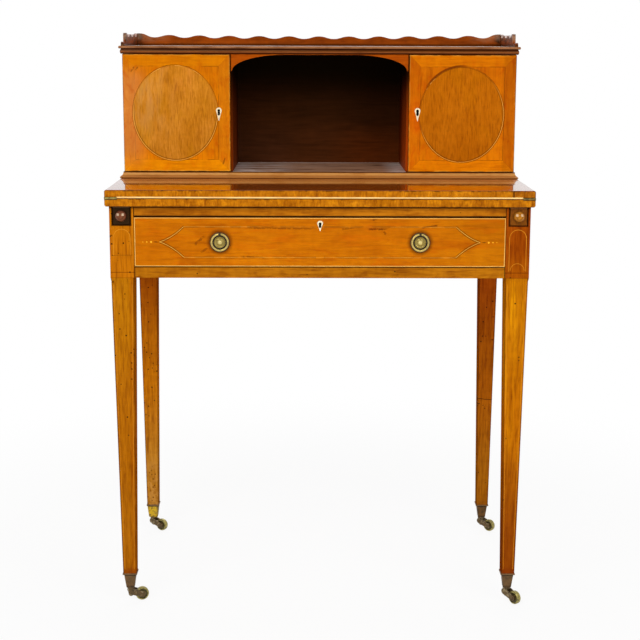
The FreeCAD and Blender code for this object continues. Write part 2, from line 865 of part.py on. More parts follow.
def mitred_moulding(profile, projection, bottom, top):
    """Front length and two returns round the case, mitred at the front corners."""
    outer = case_half + projection
    front = case_front - projection

    def front_place(out, up):
        return Vector(-outer, case_front - out, bottom + up)

    def side_place(out, up):
        return Vector(case_half + out, front, bottom + up)

    def plan(corners):
        points = [Vector(x, y, bottom) for x, y in corners]
        return outline(*points).extrude(Vector(0, 0, top - bottom))

    front_run = profile(front_place).extrude(Vector(2 * outer, 0, 0))
    front_plan = plan([(-outer, front), (outer, front), (case_half, case_front), (-case_half, case_front)])
    side_run = profile(side_place).extrude(Vector(0, case_back - front, 0))
    side_plan = plan([(case_half, case_front), (outer, front), (outer, case_back), (case_half, case_back)])
    right_return = side_run.common(side_plan)
    return [front_run.common(front_plan), right_return, mirrored(right_return)]


def niche_arch():
    """Flat strip under the top with a quarter ellipse in each corner."""
    half = door_inner - arch_gap
    low = case_ceiling - arch_drop
    soffit = case_ceiling - arch_strip
    board = box(-half, half, case_front, case_inner_front, low, case_ceiling)
    flat_half = niche_half - arch_corner
    cuts = [box(-flat_half, flat_half, case_front, case_inner_front, low, soffit)]
    for centre in (-flat_half, flat_half):
        middle = Vector(centre, case_front, low)
        reach = middle + Vector(arch_corner, 0, 0)
        crown = middle + Vector(0, 0, soffit - low)
        opening = Part.Face(Part.Wire(Part.Ellipse(reach, crown, middle).toShape()))
        cuts.append(opening.extrude(Vector(0, case_inner_front - case_front, 0)))
    return board.cut(cuts)


def waves(place, start, end, count, sag):
    """Crests and valleys between two level ends, as a chain of S bends that sink towards the middle."""
    levels = [(start, gallery_end)]
    for index in range(count):
        for turns, height in ((index + 0.5, gallery_valley), (index + 1, gallery_crest)):
            share = turns / count
            sunk = 4 * sag * share * (1 - share)
            levels.append((start + (end - start) * share, height - sunk))
    levels[-1] = (end, gallery_end)
    steps = []
    for here, there in zip(levels, levels[1:]):
        steps += ogee(place, here, there)
    return steps


def gallery_back():
    def place(x, up):
        return Vector(x, case_back - gallery_thickness, case_top_top + up)

    end = gallery_half - gallery_end_flat
    wave = waves(place, -end, end, gallery_back_waves, gallery_sag)
    left = [place(-gallery_half, 0), place(-gallery_half, gallery_end), place(-end, gallery_end)]
    face = outline(*left, *wave, place(gallery_half, gallery_end), place(gallery_half, 0))
    return face.extrude(Vector(0, gallery_thickness, 0))


def gallery_side():
    """Low hollowed toe in front, an upright with a rounded top, then waves back to the corner."""
    front = case_front + gallery_setback
    length = case_back - gallery_thickness - front
    lean = math.sqrt(0.5)

    def place(back, up):
        return Vector(gallery_half - gallery_thickness, front + back, case_top_top + up)

    crest = toe_length + riser_round
    toe = (place(toe_radius * (1 - lean), toe_radius * lean), place(toe_radius, toe_radius))
    hollow = bowed(place, (toe_radius, toe_radius), (toe_length, toe_radius), -toe_hollow)
    shoulder = (place(toe_length + riser_round * (1 - lean), gallery_end - riser_round * (1 - lean)),
                place(crest, gallery_end))
    wave = waves(place, crest, length, gallery_side_waves, 0)
    face = outline(place(0, 0), toe, hollow, place(toe_length, gallery_end - riser_round), shoulder, *wave,
                   place(length, 0))
    return face.extrude(Vector(gallery_thickness, 0, 0))


def door_lock_limits():
    middle = door_escutcheon_top - keyhole_drop - keyhole_radius - door_keyhole_length / 2
    start = divider_outer + lock_clear
    return [start, start + door_lock_width, door_back, door_back + lock_depth,
            middle - door_lock_height / 2, middle + door_lock_height / 2]


def door_bolt_limits():
    lock = door_lock_limits()
    middle_y = (lock[2] + lock[3]) / 2
    middle_z = (lock[4] + lock[5]) / 2
    return [lock[0], lock[0] + bolt_length, middle_y - bolt_thickness / 2, middle_y + bolt_thickness / 2,
            middle_z - bolt_height / 2, middle_z + bolt_height / 2]


def door_lock():
    return box(*door_lock_limits()).cut(box(*grown(door_bolt_limits(), slide_gap)))


def door(key_x):
    """Right-hand leaf; its outer back corner is rounded about the pivot so that it can turn."""
    round_mid = door_thickness / 2 * math.sqrt(0.5)
    corner = (Vector(pivot_x + round_mid, pivot_y + round_mid, door_bottom),
              Vector(pivot_x, door_back, door_bottom))
    plan = outline(Vector(door_inner, case_front, door_bottom), Vector(door_outer, case_front, door_bottom),
                   Vector(door_outer, pivot_y, door_bottom), corner,
                   Vector(door_inner, door_back, door_bottom))
    leaf = eased_front(plan.extrude(Vector(0, 0, door_top - door_bottom)), case_front, door_ease)
    low = pivot_plate(door_bottom, door_bottom + pivot_plate_thickness + glue_gap, glue_gap)
    high = pivot_plate(door_top - pivot_plate_thickness - glue_gap, door_top, glue_gap)
    top = door_escutcheon_top
    hole = keyhole(key_x, top, door_keyhole_length, case_front, door_back)
    seat = escutcheon_plate(key_x, top, door_escutcheon_width, door_escutcheon_height, case_front, glue_gap)
    return leaf.cut([low, high, hole, seat])


def slim_shell(centre_x, centre_y):
    return square_taper(centre_x, centre_y, (cup_bottom, cup_bottom_side), (cup_top, cup_top_side), leg_ease)


def stout_shell(centre_x, centre_y):
    """Fuller taper with its lower edge rounded."""
    shell = square_taper(centre_x, centre_y, (cup_bottom, stout_bottom_side), (cup_top, stout_top_side),
                         stout_round)
    low_edges = [edge for edge in shell.Edges if edge.BoundBox.ZMax < cup_bottom + stout_round]
    return shell.makeFillet(stout_round / 2, low_edges)


def caster_cup(shell, centre_x, centre_y):
    half = collar_side / 2
    collar = box(centre_x - half, centre_x + half, centre_y - half, centre_y + half,
                 cup_top - collar_height, cup_top)
    collar = collar.makeFillet(leg_ease, collar.Edges)
    cavity = leg_tip(centre_y, 0).translated(Vector(centre_x - leg_axis, 0, 0))
    bore_top = Vector(centre_x, centre_y, cup_bottom + stem_length + slide_gap)
    bore = rod(stem_radius + running_gap, Vector(centre_x, centre_y, cup_bottom), bore_top)
    return shell.fuse(collar).cut([cavity, bore])


def link(start, start_radius, end, end_radius, y0, y1):
    """Flat plate whose outline wraps two circles, given in the plane of the wheel."""
    run = end - start
    heading = math.atan2(run.z, run.x)
    spread = math.acos((start_radius - end_radius) / run.Length)

    def rim(centre, radius, angle):
        return Vector(centre.x + radius * math.cos(angle), y0, centre.z + radius * math.sin(angle))

    upper = heading + spread
    lower = heading - spread
    face = outline(rim(start, start_radius, lower), rim(end, end_radius, lower),
                   (rim(end, end_radius, heading), rim(end, end_radius, upper)),
                   rim(start, start_radius, upper),
                   (rim(start, start_radius, heading + math.pi), rim(start, start_radius, lower)))
    return face.extrude(Vector(0, y1 - y0, 0))


def caster_fork():
    """Swivelling horn, its two cheeks and the axle, with the swivel on the Z axis and the wheel along +X."""
    top = cup_bottom - slide_gap
    flange = top - fork_flange_thickness
    lean = fork_tip_radius * math.sqrt(0.5)
    low = fork_ground + fork_tip_radius

    def place(radius, z):
        return Vector(radius, 0, z)

    stem_top = cup_bottom + stem_length
    profile = outline(place(0, fork_ground), (place(lean, low - lean), place(fork_tip_radius, low)),
                      place(fork_body_radius, flange - fork_flange_thickness),
                      place(fork_flange_radius, flange), place(fork_flange_radius, top),
                      place(stem_radius, top), place(stem_radius, stem_top), place(0, stem_top))
    horn = profile.revolve(Vector(0, 0, 0), Vector(0, 0, 1), 360)
    head = Vector(0, 0, flange - fork_head_radius)
    eye = Vector(caster_trail, 0, wheel_radius)
    inner = wheel_width / 2 + fork_side_gap
    outer = inner + fork_cheek
    cheeks = [link(head, fork_head_radius, eye, fork_eye_radius, *sides)
              for sides in ((-outer, -inner), (inner, outer))]
    reach = Vector(0, outer + axle_head, 0)
    body = horn.fuse(cheeks).cut(rod(axle_radius + running_gap, eye - reach, eye + reach))
    return [body, rod(axle_radius, eye - reach, eye + reach)]


def caster_wheel():
    half = wheel_width / 2
    hub = Vector(caster_trail, 0, wheel_radius)
    bore = axle_radius + running_gap
    rim_inner = wheel_radius - wheel_rim
    shoulder = wheel_shoulder * (1 - math.sqrt(0.5))

    def place(radius, across):
        return Vector(caster_trail + radius, across, wheel_radius)

    def half_profile(sign):
        near = half - wheel_recess
        return [place(bore, sign * half), place(wheel_hub_radius, sign * half),
                place(wheel_hub_radius, sign * near), place(rim_inner, sign * near),
                place(rim_inner, sign * half), place(wheel_radius - wheel_shoulder, sign * half)]

    low = half_profile(-1)
    high = half_profile(1)[::-1]
    flat = half - wheel_shoulder
    low_arc = (place(wheel_radius - shoulder, -half + shoulder), place(wheel_radius, -flat))
    high_arc = (place(wheel_radius - shoulder, half - shoulder), high[0])
    face = outline(*low, low_arc, place(wheel_radius, flat), high_arc, *high[1:])
    return face.revolve(hub, Vector(0, 1, 0), 360)


def casters():
    """Name, place of the leg's axis and the way each caster is turned."""
    front = leg_front + leg_block / 2
    rear = leg_back - leg_block / 2
    return [("front_left", -leg_axis, front, swivel_front_left),
            ("front_right", leg_axis, front, swivel_front_right),
            ("rear_left", -leg_axis, rear, swivel_rear_left),
            ("rear_right", leg_axis, rear, swivel_rear_right)]


def swivelled(solid, x, y, angle):
    turned = solid.copy()
    turned.rotate(Vector(0, 0, 0), Vector(0, 0, 1), angle)
    return turned.translated(Vector(x, y, 0))


def pair(solid):
    return [solid, mirrored(solid)]


def save_frame():
    for name, solid in (("front", front_leg()), ("rear", rear_leg())):
        save("leg_" + name + "_right", solid)
        save("leg_" + name + "_left", mirrored(solid))
    save("side_rails", *pair(side_rail()))
    save("back_rail", back_rail())
    save("lower_front_rail", lower_front_rail())
    save("upper_front_rail", upper_front_rail())
    save("drawer_runners", *pair(drawer_runner()))
    save("drawer_guides", *pair(drawer_guide()), *pair(drawer_kicker()))


def save_top():
    save("table_bed", table_bed())
    save("rear_leaf", rear_leaf())
    save("writing_flap", writing_flap())
    save("flap_hinge_bed_leaves", *pair(hinge_bed_leaf()))
    save("flap_hinge_leaves", *pair(hinge_flap_leaf()))
    save("flap_hinge_pins", *pair(hinge_pin()))


def save_lopers():
    for side, turn in (("right", lambda solid: solid), ("left", mirrored)):
        save("loper_" + side, *[turn(solid) for solid in loper()])
        save("loper_knob_" + side, turn(loper_knob()))


def save_drawer():
    save("drawer_front", drawer_front())
    save("drawer_sides", *pair(drawer_side()))
    save("drawer_back", drawer_back())
    save("drawer_bottom", drawer_bottom())
    save("drawer_lock", drawer_lock())
    save("drawer_lock_bolt", box(*drawer_bolt_limits()))
    plate = escutcheon(0, drawer_key_top(), drawer_escutcheon_width, drawer_escutcheon_height,
                       drawer_keyhole_length, leg_front)
    save("drawer_escutcheon", plate)
    save("pull_plates", *[pull_plate(x) for x in pull_places()], *[pull_nut(x) for x in pull_places()])
    for side, x in zip(("left", "right"), pull_places()):
        save("pull_ring_" + side, pull_ring(x))


def save_case():
    save("case_base", case_base())
    save("base_moulding", *mitred_moulding(base_profile, base_projection, closed_top_height, base_top))
    save("case_sides", *pair(case_side()))
    save("case_dividers", *pair(case_divider()))
    save("case_back", back_panel(0))
    save("case_top", case_top())
    cornice = mitred_moulding(cornice_profile, cornice_projection, case_ceiling, case_top_top)
    save("cornice_moulding", *cornice)
    save("niche_arch", niche_arch())
    save("gallery_back", gallery_back())
    save("gallery_sides", *pair(gallery_side()))
    sockets = pivot_sockets()
    save("door_pivot_sockets", *sockets, *[mirrored(socket) for socket in sockets])


def save_doors():
    for side, turn, inset in (("right", lambda solid: solid, right_escutcheon_inset),
                              ("left", mirrored, left_escutcheon_inset)):
        key_x = door_inner + inset
        save("door_" + side, turn(door(key_x)))
        save("door_pivots_" + side, *[turn(solid) for solid in door_pivots()])
        save("door_lock_" + side, turn(door_lock()))
        save("door_lock_bolt_" + side, turn(box(*door_bolt_limits())))
        plate = escutcheon(key_x, door_escutcheon_top, door_escutcheon_width, door_escutcheon_height,
                           door_keyhole_length, case_front)
        save("door_escutcheon_" + side, turn(plate))


def save_casters():
    shells = {"rear_left": stout_shell}
    save("caster_cups", *[caster_cup(shells.get(name, slim_shell)(x, y), x, y)
                          for name, x, y, angle in casters()])
    for name, x, y, angle in casters():
        save("caster_fork_" + name, *[swivelled(solid, x, y, angle) for solid in caster_fork()])
        save("caster_wheel_" + name, swivelled(caster_wheel(), x, y, angle))


os.makedirs("parts", exist_ok=True)
save_frame()
save_top()
save_lopers()
save_drawer()
save_case()
save_doors()
save_casters()
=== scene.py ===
import bpy
import math
from mathutils import Matrix, Vector


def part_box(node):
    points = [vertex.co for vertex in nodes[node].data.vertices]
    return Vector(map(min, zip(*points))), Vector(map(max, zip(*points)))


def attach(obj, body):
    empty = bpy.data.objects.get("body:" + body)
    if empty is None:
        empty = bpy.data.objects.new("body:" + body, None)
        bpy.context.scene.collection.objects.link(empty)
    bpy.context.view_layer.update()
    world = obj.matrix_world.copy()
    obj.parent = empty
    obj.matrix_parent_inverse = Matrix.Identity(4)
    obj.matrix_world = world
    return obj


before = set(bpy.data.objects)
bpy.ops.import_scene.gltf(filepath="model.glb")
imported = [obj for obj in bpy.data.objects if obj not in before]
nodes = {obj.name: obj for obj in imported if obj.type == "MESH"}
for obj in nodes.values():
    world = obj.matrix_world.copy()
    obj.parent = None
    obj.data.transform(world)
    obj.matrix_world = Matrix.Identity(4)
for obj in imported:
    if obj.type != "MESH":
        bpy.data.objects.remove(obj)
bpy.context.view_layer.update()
mm = 0.001


def paint(red, green, blue):  # screen colour to the shader's own scale
    shades = []
    for part in (red, green, blue):
        share = part / 255
        shades.append(share / 12.92 if share <= 0.04045 else ((share + 0.055) / 1.055) ** 2.4)
    return (*shades, 1.0)


def middle(node):  # centre of a node's box
    return [(low + high) / 2 for low, high in zip(*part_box(node))]


class Tone:  # a socket that plain sums work on
    def __init__(self, look, socket):
        self.look = look
        self.socket = socket

    def __add__(self, other):
        return self.look.sum("ADD", self, other)

    def __sub__(self, other):
        return self.look.sum("SUBTRACT", self, other)

    def __rsub__(self, other):
        return self.look.sum("SUBTRACT", other, self)

    def __mul__(self, other):
        return self.look.sum("MULTIPLY", self, other)

    def __truediv__(self, other):
        return self.look.sum("DIVIDE", self, other)

    def __lt__(self, other):
        return self.look.sum("LESS_THAN", self, other)

    def __gt__(self, other):
        return self.look.sum("GREATER_THAN", self, other)

    def __abs__(self):
        return self.look.sum("ABSOLUTE", self, 0.0)


class Look:  # one material, its nodes, and in colour what has been laid so far
    def __init__(self, name, fixed):
        self.material = bpy.data.materials.new(name)
        self.material.use_nodes = True
        self.tree = self.material.node_tree
        self.shader = self.tree.nodes["Principled BSDF"]
        for socket, value in fixed.items():
            self.shader.inputs[socket].default_value = value
        self.spot = self.add("ShaderNodeTexCoord", {}, {}, "Object")
        self.x, self.y, self.z = self.split(self.spot)
        self.faceX, self.faceY, self.faceZ = self.split(self.add("ShaderNodeTexCoord", {}, {}, "Normal"))

    def add(self, kind, settings, inputs, outlet=0):
        node = self.tree.nodes.new(kind)
        for key, value in settings.items():
            setattr(node, key, value)
        for key, value in inputs.items():
            self.feed(node.inputs[key], value)
        return Tone(self, node.outputs[outlet])

    def feed(self, socket, value):
        if isinstance(value, Tone):
            self.tree.links.new(value.socket, socket)
        else:
            socket.default_value = value

    def set(self, socket, value):
        self.feed(self.shader.inputs[socket], value)

    def split(self, vector):
        return [self.add("ShaderNodeSeparateXYZ", {}, {0: vector}, axis) for axis in "XYZ"]

    def sum(self, operation, first, second):
        return self.add("ShaderNodeMath", {"operation": operation}, {0: first, 1: second})

    def least(self, first, second):
        return self.sum("MINIMUM", first, second)

    def most(self, first, second):
        return self.sum("MAXIMUM", first, second)

    def reach(self, *gaps):  # length of a run from its parts along the axes
        squares = gaps[0] * gaps[0]
        for gap in gaps[1:]:
            squares = squares + gap * gap
        return self.sum("SQRT", squares, 0.0)

    def fade(self, value, start, end):  # 0 at start, 1 at end
        ends = {"Value": value, "From Min": start, "From Max": end}
        return self.add("ShaderNodeMapRange", {"interpolation_type": "SMOOTHSTEP"}, ends)

    def near(self, value, place, reach):  # 1 within reach of a place, with soft sides
        return self.fade(abs(value - place), reach, reach * 0.6)

    def stretch(self, scale, shift=0.0, lean=0.0):
        if isinstance(scale, (int, float)):  # one number is the same along each axis
            scale = (scale,) * 3
        place = {"Vector": self.spot, "Location": (shift,) * 3, "Rotation": (0.0, lean, 0.0), "Scale": scale}
        return self.add("ShaderNodeMapping", {}, place)

    def noise(self, scale, shift=0.0, detail=3.0, rough=0.6, bend=0.0, lean=0.0):
        kind = {"Scale": 1.0, "Detail": detail, "Roughness": rough, "Distortion": bend}
        return self.add("ShaderNodeTexNoise", {}, {"Vector": self.stretch(scale, shift, lean), **kind})

    def patch(self, scale, start, end, shift=0.0, **kind):  # blotches of noise, from 0 to 1
        return self.fade(self.noise(scale, shift, **kind), start, end)

    def cells(self, vector, outlet):
        return self.add("ShaderNodeTexVoronoi", {}, {"Vector": vector, "Scale": 1.0}, outlet)

    def ink(self, shade):  # a screen colour becomes the shader's own, a socket stays
        return shade if isinstance(shade, Tone) else paint(*shade)

    def mix(self, share, first, second):
        ends = {0: share, 6: self.ink(first), 7: self.ink(second)}
        return self.add("ShaderNodeMix", {"data_type": "RGBA"}, ends, 2)

    def tint(self, share, colour, shade):  # darkens or warms by multiplying
        ends = {0: share, 6: self.ink(colour), 7: (*shade, 1.0)}
        return self.add("ShaderNodeMix", {"data_type": "RGBA", "blend_type": "MULTIPLY"}, ends, 2)

    def lay(self, share, shade):
        self.colour = self.mix(share, self.colour, shade)

    def wash(self, share, shade):
        self.colour = self.tint(share, self.colour, shade)

    def finish(self, rub, swing, rough, depth, height=None):  # the rub also gives the height; depth in mm
        bump = {"Strength": 1.0, "Distance": depth * mm, "Height": rub if height is None else height}
        self.set("Base Color", self.colour)
        self.set("Roughness", rub * swing + rough)
        self.set("Normal", self.add("ShaderNodeBump", {}, bump))
        return self.material


# Woods: what the pale and the dark figure multiply the ground by, and how long, wide and strong it is
satinwood = {"pale": (1.14, 1.24, 1.5), "dark": (0.6, 0.46, 0.5), "long": 5.0, "wide": 46.0,
             "cloud": 0.8, "figure": 0.4, "streak": 0.34, "fibre": 0.4, "ripple": 0.12}
ovalwood = {"pale": (1.16, 1.24, 2.0), "dark": (0.62, 0.52, 0.4), "long": 15.0, "wide": 90.0,
            "cloud": 0.8, "figure": 0.4, "streak": 0.6, "fibre": 0.5, "ripple": 0.1}
goldenwood = {"pale": (1.16, 1.22, 1.6), "dark": (0.56, 0.44, 0.5), "long": 6.0, "wide": 62.0,
              "cloud": 0.8, "figure": 0.5, "streak": 0.42, "fibre": 0.5, "ripple": 0.2}
mahogany = {"pale": (1.3, 1.4, 1.7), "dark": (0.5, 0.42, 0.5), "long": 5.0, "wide": 60.0,
            "cloud": 0.7, "figure": 0.5, "streak": 0.4, "fibre": 0.5, "ripple": 0.1}
darkwood = {"pale": (1.4, 1.4, 1.4), "dark": (0.45, 0.4, 0.45), "long": 4.0, "wide": 40.0,
            "cloud": 0.6, "figure": 0.5, "streak": 0.4, "fibre": 0.4, "ripple": 0.1}
oakwood = {"pale": (1.14, 1.16, 1.2), "dark": (0.62, 0.55, 0.5), "long": 5.0, "wide": 70.0,
           "cloud": 0.7, "figure": 0.5, "streak": 0.4, "fibre": 0.7, "ripple": 0.1}
warmTint = (1.0, 0.5, 0.1, 1)
polish = {"Specular IOR Level": 0.14, "Specular Tint": warmTint, "Coat Roughness": 0.12, "Coat Weight": 0.02}
legPolish = {"Specular IOR Level": 0.0, "Coat Roughness": 0.2}
mouldingPolish = {"Specular IOR Level": 0.3, "Specular Tint": warmTint, "Coat Roughness": 0.14,
                  "Coat Weight": 0.08}
plain = {"Specular IOR Level": 0.1, "Specular Tint": warmTint}
# near black, for real soot, cracks and holes, and for painted shade in gaps and under parts
sootAndShade = (24, 11, 4)


def grain(look, wood, axis, ground, shift=0.0):  # colour and fine fibre of a wood that runs along one axis
    long, wide = wood["long"], wood["wide"]

    def drawn(along, across, **kind):
        scale = [across] * 3
        scale["xyz".index(axis)] = along
        return look.noise(scale, shift, **kind)

    streak = drawn(long * 3.5, wide * 4, detail=2.0, bend=0.3)
    fibre = drawn(long * 6, wide * 16)
    figures = [("cloud", drawn(long, wide * 0.3, detail=2.0, rough=0.5), 0.36, 0.66, "pale"),
               ("ripple", drawn(wide * 1.4, wide * 0.5, detail=1.0, rough=0.5, bend=0.4), 0.42, 0.66, "dark"),
               ("figure", drawn(long * 1.6, wide, bend=0.6), 0.5, 0.74, "dark"),
               ("streak", streak, 0.52, 0.34, "pale"),
               ("streak", streak, 0.5, 0.7, "dark"),
               ("fibre", fibre, 0.5, 0.76, "dark")]
    colour = ground
    for name, figure, start, end, shade in figures:
        colour = look.tint(look.fade(figure, start, end) * wood[name], colour, wood[shade])
    return colour, fibre


def edgeGrimeAndShade(look, node, reach, share, shade=sootAndShade):  # dark wear, and painted shade in the gaps between parts, along the edges of a node's box
    gaps = []
    for place, low, high in zip((look.x, look.y, look.z), *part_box(node)):
        gaps.append(abs(look.least(place - low, high - place)))
    most = look.most(gaps[0], gaps[1])
    least = look.least(gaps[0], gaps[1])
    gap = look.most(least, look.least(most, gaps[2]))  # the middle one of the three
    patchy = look.patch(70, 0.3, 0.62, rough=0.5)
    look.lay(look.fade(gap, reach, 0.0) * patchy * share, shade)


def pits(look, size, reach, share, shade=sootAndShade, where=1.0):  # worm holes and dents
    spread = look.stretch(1 / size)
    dot = look.fade(look.cells(spread, "Distance"), reach, reach * 0.5)
    kept = look.split(look.cells(spread, "Color"))[0] < share
    look.lay(dot * kept * where, shade)


def dress(name, material):
    for slot in nodes[name].material_slots:
        slot.material = material


def dressBoards(wood, axis, names, ground, fixed=polish, rough=0.3, wearAndShade=0.4):
    for index, name in enumerate(names):
        look = Look(name + "Wood", fixed)
        look.colour, fibre = grain(look, wood, axis, ground, index * 3.7)
        # dark wear and painted shade along the board's edges
        edgeGrimeAndShade(look, name, 3 * mm, wearAndShade)
        dress(name, look.finish(fibre, 0.12, rough, 0.05))


# Camera: fitted to the corners of the table and the case
camera = {"place": (-0.02047, -2.79655, 1.0334), "yaw": 0.00808, "pitch": 0.1892, "roll": 0.00317,
          "focalPixels": 1461.3, "imageSide": 640, "sensor": 36.0, "sightEnd": 50}


def setCamera():
    yaw, pitch, roll = camera["yaw"], camera["pitch"], camera["roll"]
    ahead = Vector((math.sin(yaw) * math.cos(pitch), math.cos(yaw) * math.cos(pitch), -math.sin(pitch)))
    level = Vector((math.cos(yaw), -math.sin(yaw), 0))
    above = level.cross(ahead)
    right = math.cos(roll) * level + math.sin(roll) * above
    up = math.cos(roll) * above - math.sin(roll) * level
    turn = Matrix((right, up, -ahead)).transposed().to_4x4()
    bpy.ops.object.camera_add()
    lens = bpy.context.object
    lens.name = "photoCamera"
    lens.matrix_world = Matrix.Translation(camera["place"]) @ turn
    lens.data.sensor_width = camera["sensor"]
    lens.data.lens = camera["focalPixels"] / camera["imageSide"] * camera["sensor"]
    lens.data.clip_end = camera["sightEnd"]
    bpy.context.scene.camera = lens
    print("camera set")


# Stage: white floor, white surround, a large soft lamp on each side of the camera and one behind the desk
stage = {"floorSide": 16.0, "floorWhite": 0.86, "glowNear": 0.9, "glowStart": 0.5, "glowEnd": 1.5,
         "ambient": 0.42, "frontDim": 0.1, "dimStart": -0.55, "dimEnd": -0.05, "aim": (0, 0, 0.62),
         "lamps": [("keyLamp", (-1.2, -2.9, 2.7), 2.2, 62), ("fillLamp", (1.7, -2.8, 2.0), 1.9, 40),
                   ("backLamp", (0.2, 2.6, 2.6), 2.0, 24)]}


def setStage():
    bpy.ops.mesh.primitive_plane_add(size=stage["floorSide"])
    floor = bpy.context.object
    floor.name = "studioFloor"
    floor.data.materials.append(floorLook())
    for name, place, side, power in stage["lamps"]:
        bpy.ops.object.light_add(type="AREA", location=place)
        lamp = bpy.context.object
        lamp.name = name
        lamp.data.size = side
        lamp.data.energy = power
        lamp.rotation_euler = (Vector(stage["aim"]) - Vector(place)).to_track_quat("-Z", "Y").to_euler()
    setWorld()
    bpy.context.scene.view_settings.view_transform = "Standard"
    print("stage set")


def shownRay(look):  # 1 for what the camera, a mirror or a glass sees
    rays = [look.add("ShaderNodeLightPath", {}, {}, outlet)
            for outlet in ("Is Camera Ray", "Is Glossy Ray", "Is Transmission Ray")]
    return look.most(look.most(rays[0], rays[1]), rays[2])


def floorLook():  # glows white for the eye, more so away from the object, and takes a faint shadow
    look = Look("studioWhite", {"Base Color": (stage["floorWhite"],) * 3 + (1,), "Roughness": 0.9,
                                "Specular IOR Level": 0.0})
    away = look.reach(look.x, look.y)
    least = stage["glowNear"]
    share = look.fade(away, stage["glowStart"], stage["glowEnd"]) * (1 - least) + least
    glow = look.add("ShaderNodeEmission", {}, {"Strength": 1.0})
    matt = Tone(look, look.shader.outputs[0])
    blend = look.add("ShaderNodeMixShader", {}, {0: share * shownRay(look), 1: matt, 2: glow})
    look.feed(look.tree.nodes["Material Output"].inputs["Surface"], blend)
    return look.material


class Surround(Look):  # the world's own nodes
    def __init__(self, world):
        self.tree = world.node_tree
        self.x, self.y, self.z = self.split(self.add("ShaderNodeTexCoord", {}, {}, "Generated"))


def setWorld():  # white all round, but dim for mirrors on the camera's side, and soft for plain light
    world = bpy.data.worlds.new("studioWorld")
    bpy.context.scene.world = world
    world.use_nodes = True
    look = Surround(world)
    eye = look.add("ShaderNodeLightPath", {}, {}, "Is Camera Ray")
    dim = stage["frontDim"]
    seen = look.most(eye, look.fade(look.y, stage["dimStart"], stage["dimEnd"]) * (1 - dim) + dim)
    shown = shownRay(look)
    ground = world.node_tree.nodes["Background"]
    look.feed(ground.inputs["Strength"], shown * seen + (1 - shown) * stage["ambient"])
    look.feed(ground.inputs["Color"], (1, 1, 1, 1))


# Doors: mitred banding round quartered corners, with the oval let into the middle
doors = {"band": 22 * mm, "ovalWide": 80.5 * mm, "ovalTall": 89.8 * mm, "keyholeWide": 2.8 * mm,
         "keyCut": (3.1 * mm, 6.7 * mm), "keyDrop": 9.0 * mm, "lineUnder": (1.6 * mm, 7.0 * mm),
         "heights": [(0.86, 0.99, (0.84, 0.8, 0.8)), (0.84, 0.80, (1.12, 1.18, 1.0))],
         "knocks": [((-356, 974), (-350, 983)), ((-347, 977), (-343, 983)), ((-184, 800), (-180, 812))],
         "hand": (0.186, 0.892), "ringArc": 156, "lineWide": 1.5 * mm, "lineApart": 0.8 * mm,
         "seam": (98, 44, 4), "edgeShine": (236, 176, 72), "blushShade": (203, 122, 58), "knock": (84, 36, 6),
         "darkFigure": (0.92, 0.7, 0.6), "paleFigure": (1.08, 1.16, 1.4), "handTint": (0.96, 0.7, 0.8),
         "endTint": (0.78, 0.76, 0.8), "offFrontShade": (0.62, 0.55, 0.6), "hole": (6, 4, 2),
         "hazeShade": (206, 146, 72), "ovalGold": (0.98, 1.04, 0.4), "ovalGrey": (1.06, 1.0, 1.7),
         "ovalGap": (104, 36, 3), "ovalLineShadow": (112, 58, 6), "linePale": (236, 176, 78),
         "left": {"rail": (226, 130, 2), "stile": (218, 123, 8), "corner": (219, 120, 3),
                  "oval": (196, 120, 22), "lineTop": (176, 104, 14), "lean": 0.0, "blush": 1.0, "haze": 0.55,
                  "shift": 0.0, "ovalShift": 0.0, "ovalX": -273.3 * mm, "ovalZ": 896.6 * mm, "toKey": 1},
         "right": {"rail": (222, 120, 2), "stile": (208, 104, 3), "corner": (212, 110, 3),
                   "oval": (184, 98, 4), "lineTop": (112, 54, 4), "lean": 0.6, "blush": 0.0, "haze": 0.0,
                   "shift": 5.3, "ovalShift": 2.9, "ovalX": 269.8 * mm, "ovalZ": 894.2 * mm, "toKey": -1}}


def scratch(look, start, end, wide):  # ragged mark between two points on the front, in millimetres
    runX, runZ = end[0] - start[0], end[1] - start[1]
    length = math.hypot(runX, runZ)
    fromX, fromZ = look.x / mm - start[0], look.z / mm - start[1]
    along = (fromX * runX + fromZ * runZ) / length
    ragged = look.noise(260, start[0], detail=2.0)
    across = (fromZ * runX - fromX * runZ) / length + (ragged - 0.5) * 2 * wide
    ends = look.near(along, length / 2, length * 0.6)
    return look.near(across, 0.0, wide) * ends * look.fade(ragged, 0.3, 0.5)


def inKeyhole(look, plate):  # 1 inside the keyhole behind a plate
    low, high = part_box(plate)
    across = look.near(look.x, middle(plate)[0], doors["keyholeWide"] * 1.6)
    return (look.y > low[1] + 0.5 * mm) * across * (look.z > low[2]) * (look.z < high[2])


# painted shade: near black inside the keyhole
def holeShade(look, plate):
    look.lay(inKeyhole(look, plate), doors["hole"])


def ovalPlace(look, side):  # place within an oval, 1 at its edge: across, up and outwards
    wide = (look.x - doors[side]["ovalX"]) / doors["ovalWide"]
    tall = (look.z - doors[side]["ovalZ"]) / doors["ovalTall"]
    return wide, tall, look.reach(wide, tall)


